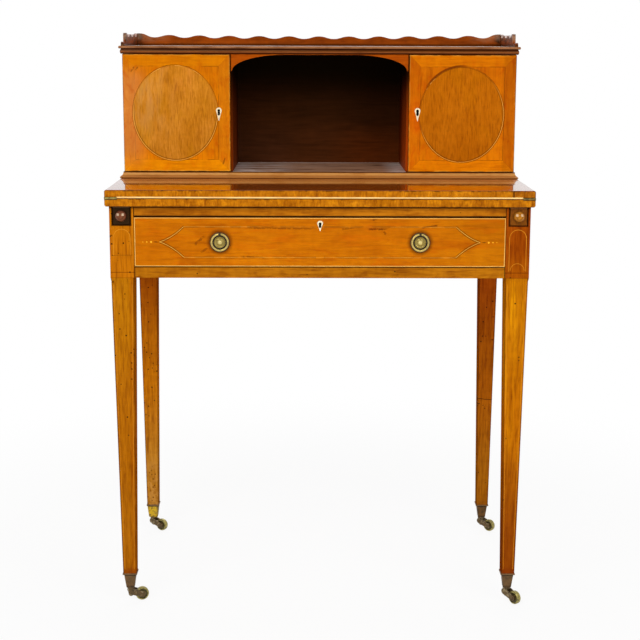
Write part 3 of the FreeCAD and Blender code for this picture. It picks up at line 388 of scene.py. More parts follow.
def doorLook(side):
    shades = doors[side]
    shift = shades["shift"]
    low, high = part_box("door_right")
    look = Look("door" + side.title() + "Veneer", polish)
    out = abs(look.x)
    gapX = look.least(out - low[0], high[0] - out)
    gapZ = look.least(look.z - low[2], high[2] - look.z)
    gap = look.least(gapX, gapZ)
    stile, fibre = grain(look, satinwood, "z", shades["stile"], shift)
    rail, railFibre = grain(look, satinwood, "x", shades["rail"], shift)
    corner = grain(look, dict(satinwood, streak=0.36), "z", shades["corner"], shift + 2)[0]
    flat = gapX > gapZ
    inside = gap > doors["band"]
    look.colour = look.mix(inside, look.mix(flat, stile, rail), corner)
    mitre = look.near(gapX - gapZ, 0.0, 0.5 * mm) * (1 - inside)
    border = look.near(gap, doors["band"], 0.6 * mm)
    worn = look.patch(45, 0.34, 0.56, shift, rough=0.5)
    look.lay(look.most(mitre * 0.3, border * 0.7) * worn, doors["seam"])
    look.lay(look.near(gap, 1.2 * mm, 0.9 * mm) * worn * 0.5, doors["edgeShine"])
    # painted shade darkens the doors towards the top and painted light brightens them towards the bottom
    for start, end, shade in doors["heights"]:
        look.wash(look.fade(look.z, start, end), shade)
    blush = look.fade(look.x, -0.318, -0.352) * look.fade(look.z, 0.78, 0.84) * look.fade(look.z, 0.99, 0.955)
    look.lay(blush * shades["blush"] * 0.65, doors["blushShade"])
    lively = look.noise((70, 70, 50), shift, bend=0.8)
    stileShare = (1 - flat) * 0.3 + 0.5
    look.wash(look.fade(lively, 0.5, 0.68) * stileShare, doors["darkFigure"])
    look.wash(look.fade(lively, 0.46, 0.3) * stileShare, doors["paleFigure"])
    if side == "left":  # knocks in the corners
        for start, end in doors["knocks"]:
            look.lay(scratch(look, start, end, 1.6) * 0.55, doors["knock"])
    else:  # redder where hands turn the key, dark over the oval's upper left
        handX, handZ = look.x - doors["hand"][0], look.z - doors["hand"][1]
        away = look.sum("SQRT", handX * handX + handZ * handZ * 0.3, 0.0)
        look.wash(look.fade(away, 24 * mm, 8 * mm) * 0.8, doors["handTint"])
        look.wash(look.fade(look.x, 0.344, 0.352), doors["endTint"])
        wide, tall, radius = ovalPlace(look, side)
        upper = look.fade(tall - wide, 0.8, 1.1) * look.fade(tall, 0.5, 0.75)
        look.lay(look.near(radius, 1.02, 0.03) * upper * 0.8, doors["ovalGap"])
    # painted shade: every face but the front is darker
    look.wash(1 - (look.faceY < -0.5), doors["offFrontShade"])
    pits(look, 17 * mm, 0.09, 0.2)
    edgeGrimeAndShade(look, "door_" + side, 2.2 * mm, 0.75)
    holeShade(look, "door_escutcheon_" + side)
    return look.finish(fibre, 0.1, 0.28, 0.04, look.mix(flat, fibre, railFibre))


def ovalLook(side):  # short upright figure, greyer to the left
    shades = doors[side]
    look = Look("oval" + side.title() + "Veneer", polish)
    look.colour, fibre = grain(look, ovalwood, "z", shades["oval"], shades["ovalShift"])
    haze = look.fade(look.x, -0.25, -0.34) * look.fade(look.z, 0.82, 0.9)
    look.lay(haze * look.patch((60, 60, 14), 0.36, 0.62) * shades["haze"], doors["hazeShade"])
    hue = look.noise((26, 26, 12), 1.0)
    look.wash(look.fade(hue, 0.5, 0.66) * 0.6, doors["ovalGold"])
    if side == "left":
        look.wash(look.fade(hue, 0.46, 0.32) * 0.5, doors["ovalGrey"])
    wide, tall, radius = ovalPlace(look, side)
    lower = look.fade(tall - wide * shades["lean"], 0.4, -0.2)
    # painted shadow just inside the lower part of the oval line
    look.lay(look.near(radius, 0.97, 0.011) * lower * 0.65, doors["ovalLineShadow"])
    return look.finish(fibre, 0.1, 0.28, 0.04)


def ovalLineLook(side):  # boxwood, pale in the lower part, dull above, a few glints at the top
    shades = doors[side]
    look = Look("ovalLine" + side.title(), {"Specular IOR Level": 0.0})
    slant = look.z - shades["ovalZ"] - (look.x - shades["ovalX"]) * shades["lean"]
    rub = look.noise(36, shades["ovalX"])
    pale = look.fade(slant, 34 * mm, -16 * mm) * (look.fade(rub, 0.3, 0.5) * 0.4 + 0.6)
    glint = look.fade(slant, 60 * mm, 84 * mm) * look.fade(rub, 0.5, 0.6)
    look.colour = look.mix(look.most(pale, glint), shades["lineTop"], doors["linePale"])
    return look.finish(rub, 0.1, 0.34, 0.02)


# Drawer front: lively orange figure along the grain, darker where hands and knocks have stained it
drawerFront = {"ground": (197, 107, 3), "stain": (0.76, 0.62, 0.6), "pale": (1.12, 1.2, 1.4),
               "red": (1.02, 0.8, 0.6), "rightTint": (0.88, 0.92, 0.9), "offFrontShade": (0.6, 0.55, 0.6),
               "scratch": (88, 34, 3), "lineDirtAndShadow": (116, 56, 3), "pullDirt": (92, 42, 5),
               "edgeDirtAndShade": (120, 54, 5), "pullX": 178 * mm, "pullZ": middle("drawer_front")[2],
               "scratches": [((-223, 676), (-206, 691), 2.8, 0.55), ((86, 704.4), (120, 704), 2.0, 0.75),
                             ((180, 707), (210, 711.5), 1.6, 0.75), ((38, 704), (60, 707), 2.0, 0.5),
                             ((-130, 706), (-10, 705), 1.8, 0.5), ((113, 700), (117, 695), 2.4, 0.6),
                             ((-140, 655), (-96, 653), 1.8, 0.6), ((93, 720.6), (100, 722), 2.2, 0.6),
                             ((-212, 662), (-200, 670), 2.4, 0.5)]}


# Stringing on the drawer: a long hexagon with hollow points, a dark spear at each point, then three dots
stringing = {"tip": 285 * mm, "corner": 242 * mm, "half": 27.4 * mm, "middle": drawerFront["pullZ"],
             "hollow": 0.5, "keyGap": 7 * mm, "worn": 125 * mm, "edge": 1.5 * mm, "steps": 8,
             "spear": 291.5 * mm, "spearHalf": (5.0 * mm, 0.9 * mm),
             "dots": [(300 * mm, 1.7 * mm), (307.6 * mm, 1.25 * mm), (314.5 * mm, 0.85 * mm)]}


def hollowRun(share):  # height of a point's side, 0 at the tip and 1 at the corner, for numbers and for Tones
    return share * (1 - stringing["hollow"]) + share * share * stringing["hollow"]


def pullReach(look):  # distance from the nearer pull
    return look.reach(abs(look.x) - drawerFront["pullX"], look.z - drawerFront["pullZ"])


def drawerLook():
    look = Look("drawerVeneer", polish)
    look.colour, fibre = grain(look, satinwood, "x", drawerFront["ground"], 1.1)
    look.wash(look.patch((9, 9, 26), 0.5, 0.72, 4.0, rough=0.55, bend=0.7) * 0.7, drawerFront["stain"])
    lively = look.noise((34, 34, 120), 2.0, bend=0.8)
    look.wash(look.fade(lively, 0.52, 0.72) * 0.4, drawerFront["stain"])
    look.wash(look.fade(lively, 0.46, 0.3) * 0.5, drawerFront["pale"])
    red = look.patch((13, 9, 75), 0.48, 0.7, bend=0.9, lean=0.16)
    look.wash(red * 0.7, drawerFront["red"])
    for start, end, wide, share in drawerFront["scratches"]:
        look.lay(scratch(look, start, end, wide) * share, drawerFront["scratch"])
    out, off = abs(look.x), abs(look.z - stringing["middle"])  # dirt and painted shadow along the stringing
    share = (stringing["tip"] - out) / (stringing["tip"] - stringing["corner"])
    pointed = look.near(off - hollowRun(share) * stringing["half"], 0.0, 3.4 * mm)
    pointed = pointed * (share > 0.0) * (share < 1.0)
    level = look.near(off, stringing["half"], 2.0 * mm) * (share > 1.0) * (out > stringing["keyGap"])
    rubbed = look.patch(60, 0.36, 0.56, 3.0, detail=2.0, rough=0.5)
    look.lay(look.most(pointed * 0.7, level * rubbed * 0.6), drawerFront["lineDirtAndShadow"])
    look.lay(look.fade(pullReach(look), 26 * mm, 18 * mm) * 0.65, drawerFront["pullDirt"])
    look.wash(look.fade(look.x, 0.16, 0.3) * 0.9, drawerFront["rightTint"])
    # painted shade: every face but the front is darker
    look.wash(1 - (look.faceY < -0.5), drawerFront["offFrontShade"])
    pits(look, 24 * mm, 0.06, 0.2)
    # dark wear and painted shade along the drawer's edges
    edgeGrimeAndShade(look, "drawer_front", 4 * mm, 0.5, drawerFront["edgeDirtAndShade"])
    holeShade(look, "drawer_escutcheon")
    return look.finish(fibre, 0.1, 0.28, 0.04)


# Legs: colours at the top, middle and foot, of the block beside the drawer and of the tip, and the wear
legs = {"leg_front_left": {"shades": [(178, 107, 5), (172, 98, 5), (168, 96, 6)], "block": (182, 102, 5),
                           "tip": (128, 48, 8), "ripple": 0.08, "pits": 0.2},
        "leg_front_right": {"shades": [(186, 109, 3), (184, 102, 3), (136, 62, 3)], "block": (150, 66, 3),
                            "tip": (128, 48, 8), "ripple": 0.1, "pits": 0.06},
        # the rear legs are darker at the top: painted shade under the apron
        "leg_rear_left": {"shades": [(162, 77, 3), (192, 110, 5), (180, 116, 26)], "block": (150, 72, 3),
                          "tip": (140, 92, 30), "ripple": 0.2, "pits": 0.75},
        "leg_rear_right": {"shades": [(154, 66, 4), (164, 84, 5), (160, 92, 9)], "block": (146, 64, 4),
                           "tip": (122, 66, 16), "ripple": 0.2, "pits": 0.5}}
legHeights = {"top": 0.56, "middle": 0.35, "foot": 0.12, "apron": 616.3 * mm, "joint": 626 * mm,
              "collar": 57.5 * mm, "waist": 610.3 * mm, "frontWaist": 40.6 * mm, "rearWaist": 38.4 * mm,
              "footWide": 24.4 * mm, "crack": 313.5 * mm, "splinters": 277 * mm, "splinterX": 352 * mm}
legWearAndShade = {"flame": (1.3, 1.5, 1.2), "blockFoot": (1.2, 1.5, 1.2), "joint": (0.4, 0.32, 0.4),
           "apron": (0.5, 0.4, 0.4), "pit": (60, 26, 4), "scraped": (206, 144, 64), "dent": (112, 60, 8),
           "stripe": (0.9, 0.72, 0.5), "edge": (84, 38, 4), "sides": (0.86, 0.8, 0.8)}
bearerSlot = {"x": 352 * mm, "z": 727.5 * mm, "halfWide": 16.3 * mm, "halfTall": 17 * mm}


def legHalf(z, name):  # half width of a leg at a height, for numbers and for Tones
    waist = legHeights["frontWaist" if "front" in name else "rearWaist"]
    share = (z - legHeights["collar"]) / (legHeights["waist"] - legHeights["collar"])
    return (share * (waist - legHeights["footWide"]) + legHeights["footWide"]) / 2


def legLook(name, shift):
    shades = legs[name]
    look = Look(name + "Wood", legPolish)
    top, centre, foot = shades["shades"]
    ground = look.mix(look.fade(look.z, legHeights["foot"], legHeights["middle"]), foot, centre)
    ground = look.mix(look.fade(look.z, legHeights["middle"], legHeights["top"]), ground, top)
    block = look.z > legHeights["apron"]
    ground = look.mix(block, ground, shades["block"])
    wood = dict(goldenwood, ripple=shades["ripple"], streak=0.68, fibre=0.8)
    look.colour, fibre = grain(look, wood, "z", ground, shift)
    if name == "leg_front_right":  # pale flames that lean across the leg, and a golden foot to the dark block
        flame = look.patch((52, 20, 5), 0.46, 0.68, detail=2.0, rough=0.5, bend=0.5, lean=0.34)
        look.wash(flame * look.fade(look.z, 0.24, 0.34) * (1 - block) * 0.9, legWearAndShade["flame"])
        look.wash(block * look.fade(look.z, 0.67, 0.63) * 0.8, legWearAndShade["blockFoot"])
    look.wash(look.near(look.z, legHeights["joint"], 0.9 * mm) * 0.8, legWearAndShade["joint"])
    look.wash(look.near(look.z, legHeights["apron"], 0.8 * mm) * 0.5, legWearAndShade["apron"])
    redFoot = look.fade(look.z, legHeights["collar"] + 16 * mm, legHeights["collar"] + 3 * mm)
    look.lay(redFoot * (0.6 if "front" in name else 0.4), shades["tip"])
    pits(look, 10 * mm, 0.2, shades["pits"], legWearAndShade["pit"], look.fade(look.z, 0.2, 0.3))
    if name == "leg_rear_left":  # scraped and dented above the caster
        scraped = look.patch((70, 70, 46), 0.42, 0.6) * look.fade(look.z, 0.2, 0.1)
        look.lay(scraped * 0.6, legWearAndShade["scraped"])
        pits(look, 6 * mm, 0.34, 0.6, legWearAndShade["dent"], look.fade(look.z, 0.17, 0.11))
    pits(look, 21 * mm, 0.09, 0.3)
    if name == "leg_rear_right":  # old break across the leg, and splinters lost below it
        wander = look.noise((90, 90, 20), detail=2.0, rough=0.5) * 3 * mm
        crack = look.near(look.z + wander + look.x * 0.06, legHeights["crack"], 0.9 * mm)
        lost = look.patch((160, 160, 260), 0.54, 0.6, detail=2.0, rough=0.5)
        lost = look.near(look.z, legHeights["splinters"], 7 * mm) * lost * (look.x < legHeights["splinterX"])
        look.lay(look.most(crack, lost) * 0.85, sootAndShade)
    if "front" in name:  # painted shade round the bearer's slot and painted shadow under the bed
        across = abs(abs(look.x) - bearerSlot["x"]) - bearerSlot["halfWide"]
        up = abs(look.z - bearerSlot["z"]) - bearerSlot["halfTall"]
        look.lay(look.fade(look.most(across, up), 2.2 * mm, 0.8 * mm) * 0.85, sootAndShade)
        look.lay(look.fade(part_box(name)[1][2] - look.z, 3.8 * mm, 2.1 * mm) * 0.8, sootAndShade)
    worn = look.patch((40, 40, 12), 0.3, 0.56, shift, rough=0.5)
    half = legHalf(look.z, name)
    axisX, axisY = middle(name)[:2]
    if name == "leg_front_left":  # an orange stripe down its inner side
        stripe = look.fade(half - look.x + axisX, 10 * mm, 6 * mm) * (1 - block)
        look.wash(stripe * (worn * 0.5 + 0.3), legWearAndShade["stripe"])
    # painted shade along the leg's edges, patchy with wear
    gap = look.most(half - abs(look.x - axisX), half - abs(look.y - axisY))
    edge = look.fade(gap, 2.4 * mm, 0.5 * mm) * (1 - block)
    look.lay(edge * (worn * 0.55 + 0.25), legWearAndShade["edge"])
    # painted shade on the sides
    look.wash(abs(look.faceX) > 0.8, legWearAndShade["sides"])
    look.set("Coat Weight", (abs(look.faceY) > 0.8) * 0.03)
    return look.finish(fibre, 0.12, 0.34, 0.06)


# Table leaves: dark glossy tops, and crossbanded edges with upright mottle and chips
leaves = {"top": (150, 68, 6), "edge": (184, 108, 9), "under": (128, 74, 24), "mottle": (0.6, 0.46, 0.5),
          "blotch": (0.66, 0.54, 0.5), "bright": (1.34, 1.48, 1.5), "mended": (0.72, 0.66, 1.2),
          "line": (104, 48, 6), "chip": (54, 24, 5), "patchX": 341 * mm, "gloss": 0.95}


def leafLook(name, shift):
    low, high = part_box(name)
    look = Look(name + "Wood", {"Specular IOR Level": 0.1, "Specular Tint": warmTint, "Coat Roughness": 0.05})
    top, fibre = grain(look, mahogany, "x", leaves["top"], shift)
    look.colour = grain(look, dict(goldenwood, long=26.0, wide=90.0), "z", leaves["edge"], shift)[0]
    look.wash(look.patch((230, 230, 50), 0.46, 0.7, shift, rough=0.65, bend=0.3) * 0.75, leaves["mottle"])
    look.wash(look.patch((38, 38, 60), 0.46, 0.66, shift + 4) * 0.5, leaves["blotch"])
    look.wash(look.patch((60, 60, 50), 0.46, 0.66, shift + 2), leaves["bright"])
    up = look.faceZ > 0.6
    aside = 1 - up
    look.lay(up, top)
    if name == "writing_flap":  # a mended corner
        look.wash((look.x > leaves["patchX"]) * aside * 0.7, leaves["mended"])
        look.lay(look.near(look.x, leaves["patchX"], 1.1 * mm) * aside * 0.9, sootAndShade)
    look.lay(look.faceZ < -0.6, grain(look, oakwood, "x", leaves["under"], shift)[0])
    chips = look.patch(95, 0.52, 0.58, shift, rough=0.65)
    arris = look.fade(high[2] - look.z, 4.0 * mm, 0.8 * mm) * aside
    lower = look.fade(look.z - low[2], 3.0 * mm, 0.4 * mm) * aside
    look.lay(look.fade(high[2] - look.z, 2.0 * mm, 0.8 * mm) * aside * 0.45, leaves["line"])
    look.lay(look.most(arris * 0.7, lower * 0.35) * chips, leaves["chip"])
    edgeGrimeAndShade(look, name, 1.6 * mm, 0.6)
    look.set("Coat Weight", up * leaves["gloss"] + 0.02)
    wave = look.noise(7, shift, detail=1.0, rough=0.5)
    return look.finish(fibre, 0.12, 0.26, 0.25, fibre * 0.1 + wave)


# Front rails: painted shadow along the drawer's edge and under the top, and painted shade at the ends against
# the legs
rails = {"upper_front_rail": {"ground": (181, 106, 12), "atTop": 3.8 * mm, "atFoot": 1.8 * mm, "shift": 0.0},
         "lower_front_rail": {"ground": (174, 103, 8), "atTop": 1.8 * mm, "atFoot": 0.8 * mm, "shift": 3.0}}


def railLook(name):
    rail = rails[name]
    low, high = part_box(name)
    look = Look(name + "Wood", polish)
    look.colour, fibre = grain(look, dict(goldenwood, streak=0.6), "x", rail["ground"], rail["shift"])
    look.wash(look.patch((26, 26, 60), 0.48, 0.66, rail["shift"], bend=0.5) * 0.7, leaves["blotch"])
    # painted shadow in the gaps above and below the rail, and painted shade at its ends
    seam = look.most(look.fade(high[2] - look.z, rail["atTop"], rail["atTop"] * 0.55),
                     look.fade(look.z - low[2], rail["atFoot"], 0.8 * mm))
    ends = look.fade(abs(look.x), 0.3285, 0.3298)
    look.lay(look.most(seam, ends) * 0.9, sootAndShade)
    pits(look, 13 * mm, 0.12, 0.3)
    return look.finish(fibre, 0.12, 0.3, 0.05)


# Case and gallery
caseWood = {"niche": (56, 26, 10), "divider": (176, 74, 9), "back": (132, 92, 52), "side": (208, 110, 4),
            "sideInner": (120, 72, 34), "sideFrom": 368 * mm, "nicheHalf": 165.5 * mm,
            "backJoints": (0.862, 0.936), "upper": (0.02, 0.03, 0.14), "lower": (1.5, 1.4, 1.3),
            "redGlow": (1.5, 1.15, 0.6), "greyGlow": (1.0, 1.15, 1.7), "leftDividerShade": (0.5, 0.56, 0.9),
            "dividerDepthShade": [(0.0, 0.03, (0.6, 0.54, 0.7)), (0.1, 0.2, (0.4, 0.4, 0.5))]}
dustAndReflection = {"ground": (176, 132, 104), "streak": (232, 212, 204), "corner": (226, 214, 208),
        "back": (226, 206, 196), "rubbed": (0.5, 0.42, 0.36)}
gallery = {"ground": (142, 58, 4), "dark": (0.7, 0.56, 0.5), "red": (1.3, 1.3, 1.0), "pale": (176, 122, 86),
           "corner": (30, 18, 12), "foot": (40, 14, 3), "rubbed": (150, 128, 108), "top": (0.5, 0.45, 0.5)}


def nicheLook(name, axis, shift):  # dark inside, with painted shade darkest under the top and painted light low down, and plain boards behind
    look = Look(name + "Wood", plain)
    ground = caseWood["divider" if name == "case_dividers" else "niche"]
    look.colour, fibre = grain(look, darkwood, axis, ground, shift)
    # painted shade near black under the top, and painted light low down
    look.wash(look.fade(look.z, 0.88, 0.98), caseWood["upper"])
    look.wash(look.fade(look.z, 0.90, 0.80), caseWood["lower"])
    if name == "case_back":  # painted light: grey low on the left, a red glow low on the right
        low = look.fade(look.z, 0.89, 0.82)
        look.wash(low * look.fade(look.x, 0.0, 0.1) * 0.8, caseWood["redGlow"])
        look.wash(low * look.fade(look.x, -0.02, -0.1) * 0.8, caseWood["greyGlow"])
    behind = grain(look, oakwood, "x", caseWood["back"], shift)[0]
    joints = [look.near(look.z, height, 0.7 * mm) for height in caseWood["backJoints"]]
    look.lay(look.faceY > 0.5, look.mix(look.most(*joints) * 0.9, behind, sootAndShade))
    if name == "case_dividers":  # a pale front edge, then red, then painted shade darker towards the back, and painted shade on the left divider
        for start, end, shade in caseWood["dividerDepthShade"]:
            look.wash(look.fade(look.y, start, end), shade)
        look.wash(look.x < 0.0, caseWood["leftDividerShade"])
    if name == "case_base":  # dust and painted reflections on the floor of the niche
        top = (look.faceZ > 0.5) * (abs(look.x) < caseWood["nicheHalf"])
        film = look.patch((16, 30, 16), 0.26, 0.5, bend=0.6)
        look.lay(top * (film * 0.7 + 0.3), dustAndReflection["ground"])
        # pale streaks, corners and back edge: painted reflections of the light on the floor
        streak = look.patch((5, 60, 5), 0.5, 0.7, 2.0, detail=2.0, rough=0.5)
        look.lay(top * streak * look.fade(look.x, 0.06, -0.1) * 0.8, dustAndReflection["streak"])
        patch = look.patch((22, 60, 22), 0.42, 0.6, 3.0)
        corner = look.most(look.fade(abs(look.x), 0.12, 0.155), look.fade(look.x, -0.04, -0.12) * patch)
        look.lay(top * corner * (patch * 0.5 + 0.3), dustAndReflection["corner"])
        look.lay(top * look.fade(look.y, 0.196, 0.208) * 0.5, dustAndReflection["back"])
        look.wash(top * look.patch((8, 90, 8), 0.52, 0.66, 5.0, detail=2.0, rough=0.5) * 0.8, dustAndReflection["rubbed"])
    return look.finish(fibre, 0.1, 0.45, 0.06)


def galleryLook(name, axis, shift):  # redder in the middle, black with old polish at the corners, with painted sheen near the ends and painted grey highlights on the corners
    look = Look(name + "Wood", mouldingPolish)
    look.colour, fibre = grain(look, mahogany, axis, gallery["ground"], shift)
    lively = look.noise((30, 30, 60), shift + 1)
    look.wash(look.fade(lively, 0.46, 0.66) * 0.6, gallery["dark"])
    look.wash(look.fade(lively, 0.46, 0.3) * 0.6, gallery["red"])
    out = abs(look.x)
    # painted sheen: pale patches near the ends
    pale = look.fade(out, 0.29, 0.345) * look.fade(look.z, 1.024, 1.038)
    look.lay(pale * look.patch((40, 40, 90), 0.34, 0.6, shift) * 0.5, gallery["pale"])
    corner = look.fade(out, 0.352, 0.366)
    look.lay(corner * look.patch((120, 60, 120), 0.62, 0.36, shift, rough=0.5) * 0.85, gallery["corner"])
    look.lay(look.fade(look.z, 1.0275, 1.0245) * 0.75, gallery["foot"])
    # painted grey highlights on the upper fronts of the corners
    rubbed = (look.faceY < -0.5) * corner * look.fade(look.z, 1.030, 1.038)
    look.lay(rubbed * 0.5, gallery["rubbed"])
    look.wash((look.faceZ > 0.3) * 0.5, gallery["top"])
    return look.finish(fibre, 0.12, 0.3, 0.05)


# Mouldings: height and reach of the painted shade in the quirks and of the painted highlights on the rounded
# edges, in millimetres up from the bottom
mouldings = {"cornice_moulding": {"ground": (84, 37, 9), "shadedQuirks": [(0.6, 1.8), (8.6, 2.2)],
                                  "highlights": [(3.8, 1.4, (138, 75, 34)), (12.4, 2.4, (164, 110, 72))]},
             "base_moulding": {"ground": (164, 100, 38), "shadedQuirks": [(11.4, 1.3), (0.2, 1.0)],
                               "highlights": [(8.0, 2.8, (200, 142, 76)), (3.0, 2.0, (178, 116, 58))]}}
quirkShade = (56, 14, 2)


def mouldingLook(name):
    look = Look(name + "Wood", mouldingPolish)
    look.colour, fibre = grain(look, mahogany, "x", mouldings[name]["ground"], 2.0)
    worn = look.patch((22, 22, 60), 0.3, 0.58, 1.0)
    up = look.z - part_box(name)[0][2]
    # painted highlights on the rounded edges
    for place, reach, shade in mouldings[name]["highlights"]:
        look.lay(look.near(up, place * mm, reach * mm) * (worn * 0.6 + 0.25), shade)
    # painted shade in the quirks
    for place, reach in mouldings[name]["shadedQuirks"]:
        look.lay(look.near(up, place * mm, reach * mm) * 0.85, quirkShade)
    return look.finish(fibre, 0.12, 0.28, 0.05)


def caseSideLook():
    look = Look("caseSideVeneer", legPolish)
    outer, fibre = grain(look, satinwood, "z", caseWood["side"], 6.1)
    inner = grain(look, darkwood, "z", caseWood["sideInner"], 2.2)[0]
    outside = abs(look.x) > caseWood["sideFrom"]
    look.colour = look.mix(outside, inner, outer)
    pits(look, 19 * mm, 0.08, 0.2)
    edgeGrimeAndShade(look, "case_sides", 3 * mm, 0.4)
    look.set("Coat Weight", outside * 0.02)
    return look.finish(fibre, 0.1, 0.28, 0.05)


# Bearers: the left one is nearly black, the right one a lighter replacement
bearers = {"left": {"end": (36, 19, 8), "knob": (112, 62, 38)},
           "right": {"end": (126, 66, 8), "knob": (178, 112, 28)},
           "rubbed": (178, 136, 104), "foot": (0.4, 0.36, 0.4), "knobRimShade": (0.34, 0.3, 0.34),
           "glint": (250, 226, 190)}


def bearerLook(side):  # polished end with a painted highlight along its upper edge and painted shade low down, plain bar behind
    low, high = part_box("loper_" + side)
    look = Look("loper" + side.title() + "Wood", mouldingPolish)
    look.colour, fibre = grain(look, mahogany, "y", bearers[side]["end"], 1.5)
    front = look.fade(look.y - low[1], 4 * mm, 2 * mm)
    # painted highlight on the upper edge of the end, painted shade low on it
    look.lay(front * look.fade(high[2] - look.z, 3.2 * mm, 0.8 * mm) * 0.45, bearers["rubbed"])
    look.wash(look.fade(look.z - low[2], 16 * mm, 2 * mm) * front * 0.8, bearers["foot"])
    edgeGrimeAndShade(look, "loper_" + side, 3 * mm, 0.7)
    return look.finish(fibre, 0.12, 0.3, 0.05)


def knobLook(side):
    centre = middle("loper_knob_" + side)
    look = Look("knob" + side.title() + "Wood", mouldingPolish)
    look.colour, fibre = grain(look, mahogany, "y", bearers[side]["knob"], 1.0)
    acrossX, acrossZ = look.x - centre[0], look.z - centre[2]
    away = look.reach(acrossX, acrossZ)
    # painted shade round the rim, a dark ring, and two painted glints
    look.wash(look.fade(away, 7.4 * mm, 10.2 * mm) * 0.8, bearers["knobRimShade"])
    look.lay(look.near(away, 5.0 * mm, 0.9 * mm) * 0.35, sootAndShade)
    glints = look.near(abs(acrossX), 4.4 * mm, 2.4 * mm) * look.near(acrossZ, 3.2 * mm, 2.6 * mm)
    look.lay(glints * 0.5, bearers["glint"])
    return look.finish(fibre, 0.1, 0.2, 0.05)


# Metal and bone
metals = {"pull": (214, 188, 104), "hinge": (164, 146, 74), "cup": (116, 86, 52), "wheel": (172, 158, 88),
          "fork": (104, 82, 52), "forkHighlight": (164, 146, 110), "tarnish": (46, 36, 20), "spot": (96, 92, 50),
          "offJointDark": (40, 30, 16), "rightHinge": (0.66, 0.58, 0.6), "hub": (112, 80, 40),
          "hollow": (44, 35, 16), "steel": (120, 116, 108), "rust": (96, 62, 36)}
pulls = {"channel": (112, 96, 32), "boss": (228, 212, 140), "deep": (24, 17, 4), "rim": (84, 54, 14)}
cups = {"yellow": (210, 168, 6), "chip": (96, 70, 8), "yellowShadedSide": (92, 70, 26), "lip": (160, 126, 86),
        "rearRight": (0.8, 0.66, 0.36)}
bone = {"ground": (246, 232, 196), "vein": (214, 184, 128), "stain": (0.9, 0.82, 0.66), "hole": (12, 7, 3)}


def brassLook(name, ground, tarnish=0.7, size=140.0, metal=0.7):
    look = Look(name, {"Specular IOR Level": 0.4})
    look.stain = look.patch(size, 0.4, 0.66, detail=4.0, rough=0.65)
    look.spots = look.patch(size * 4, 0.56, 0.7, detail=2.0, rough=0.5)
    look.colour = look.mix(look.stain * tarnish, ground, metals["tarnish"])
    look.lay(look.spots * tarnish * 0.6, metals["spot"])
    look.bare = metal - look.stain * 0.35
    look.set("Metallic", look.bare)
    return look


def finishBrass(look, swing=0.25, rough=0.28, depth=0.04):
    return look.finish(look.stain, swing, rough, depth, look.spots)


def hingeLook(name):  # on the flap bright along the joint, black above and below it, and duller on the right
    look = brassLook(name, metals["hinge"], 0.6)
    if name == "flapHingeBrass":
        away = abs(look.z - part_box("writing_flap")[0][2])
        look.lay(look.fade(away, 1.1 * mm, 2.2 * mm) * 0.85, metals["offJointDark"])
        look.wash(look.x > 0.0, metals["rightHinge"])
    return finishBrass(look)


def pullLook(name):  # bright rims and boss, dark in the channels, with painted shade, not metallic, under the ring and round the outside
    look = brassLook(name, metals["pull"], 0.4, 170.0, 0.55)
    if name == "pullPlateBrass":
        away = pullReach(look)
        look.lay(look.near(away, 7.2 * mm, 2.8 * mm) * 0.6, pulls["channel"])
        look.lay(look.fade(away, 4.6 * mm, 3.4 * mm) * 0.6, pulls["boss"])
        # painted shade under the ring and round the outside of the plate
        deep = look.fade(away, 9.6 * mm, 10.6 * mm)
        look.lay(deep * 0.96, pulls["deep"])
        look.lay(look.fade(away, 16.4 * mm, 17.0 * mm) * 0.9, pulls["rim"])
        look.set("Metallic", look.bare * (1 - deep))
    return finishBrass(look, rough=0.26)


def cupLook():  # dull bronze, but the odd one behind on the left is yellow paint
    look = brassLook("cupBrass", metals["cup"], 0.6, 110.0)
    odd = (look.x < 0.0) * (look.y > 0.0)
    chip = look.patch(210, 0.52, 0.62, rough=0.5)
    yellow = look.mix(chip * 0.75, cups["yellow"], cups["chip"])
    # painted shade on the right side of the yellow cup
    yellow = look.mix(look.fade(look.x, -347 * mm, -341 * mm) * 0.8, yellow, cups["yellowShadedSide"])
    painted = odd * look.fade(look.z, 55.0 * mm, 53.5 * mm)
    look.lay(painted, yellow)
    look.wash((look.x > 0.0) * (look.y > 0.0), cups["rearRight"])
    # painted highlight on the collar's lip, painted shadow under the collar, and darker towards the bottom
    look.lay(look.near(look.z, 56.6 * mm, 1.0 * mm) * 0.3, cups["lip"])
    look.lay(look.near(look.z, 53.6 * mm, 1.4 * mm) * 0.8, sootAndShade)
    look.lay(look.fade(look.z, 34 * mm, 29 * mm) * 0.5, sootAndShade)
    look.set("Metallic", look.bare * (1 - painted))
    return finishBrass(look, 0.2, 0.4, 0.06)


def wheelLook(corner):  # bright rim, black in the hollow of the face, brown hub
    node = "caster_wheel_" + corner
    look = brassLook(node + "Brass", metals["wheel"], 0.7, 220.0, 0.6)
    away = look.reach(*[place - centre for place, centre in zip((look.x, look.y, look.z), middle(node))])
    look.lay(look.fade(away, 7.0 * mm, 5.6 * mm) * 0.8, metals["hub"])
    look.lay(look.near(away, 8.6 * mm, 2.6 * mm) * 0.85, metals["hollow"])
    return finishBrass(look, rough=0.26)


def forkLook():  # dark bronze, with painted pale highlights in patches
    look = brassLook("forkBrass", metals["fork"], 0.7, 180.0)
    look.lay(look.patch(130, 0.5, 0.64, 2.0) * 0.6, metals["forkHighlight"])
    return finishBrass(look, depth=0.05)


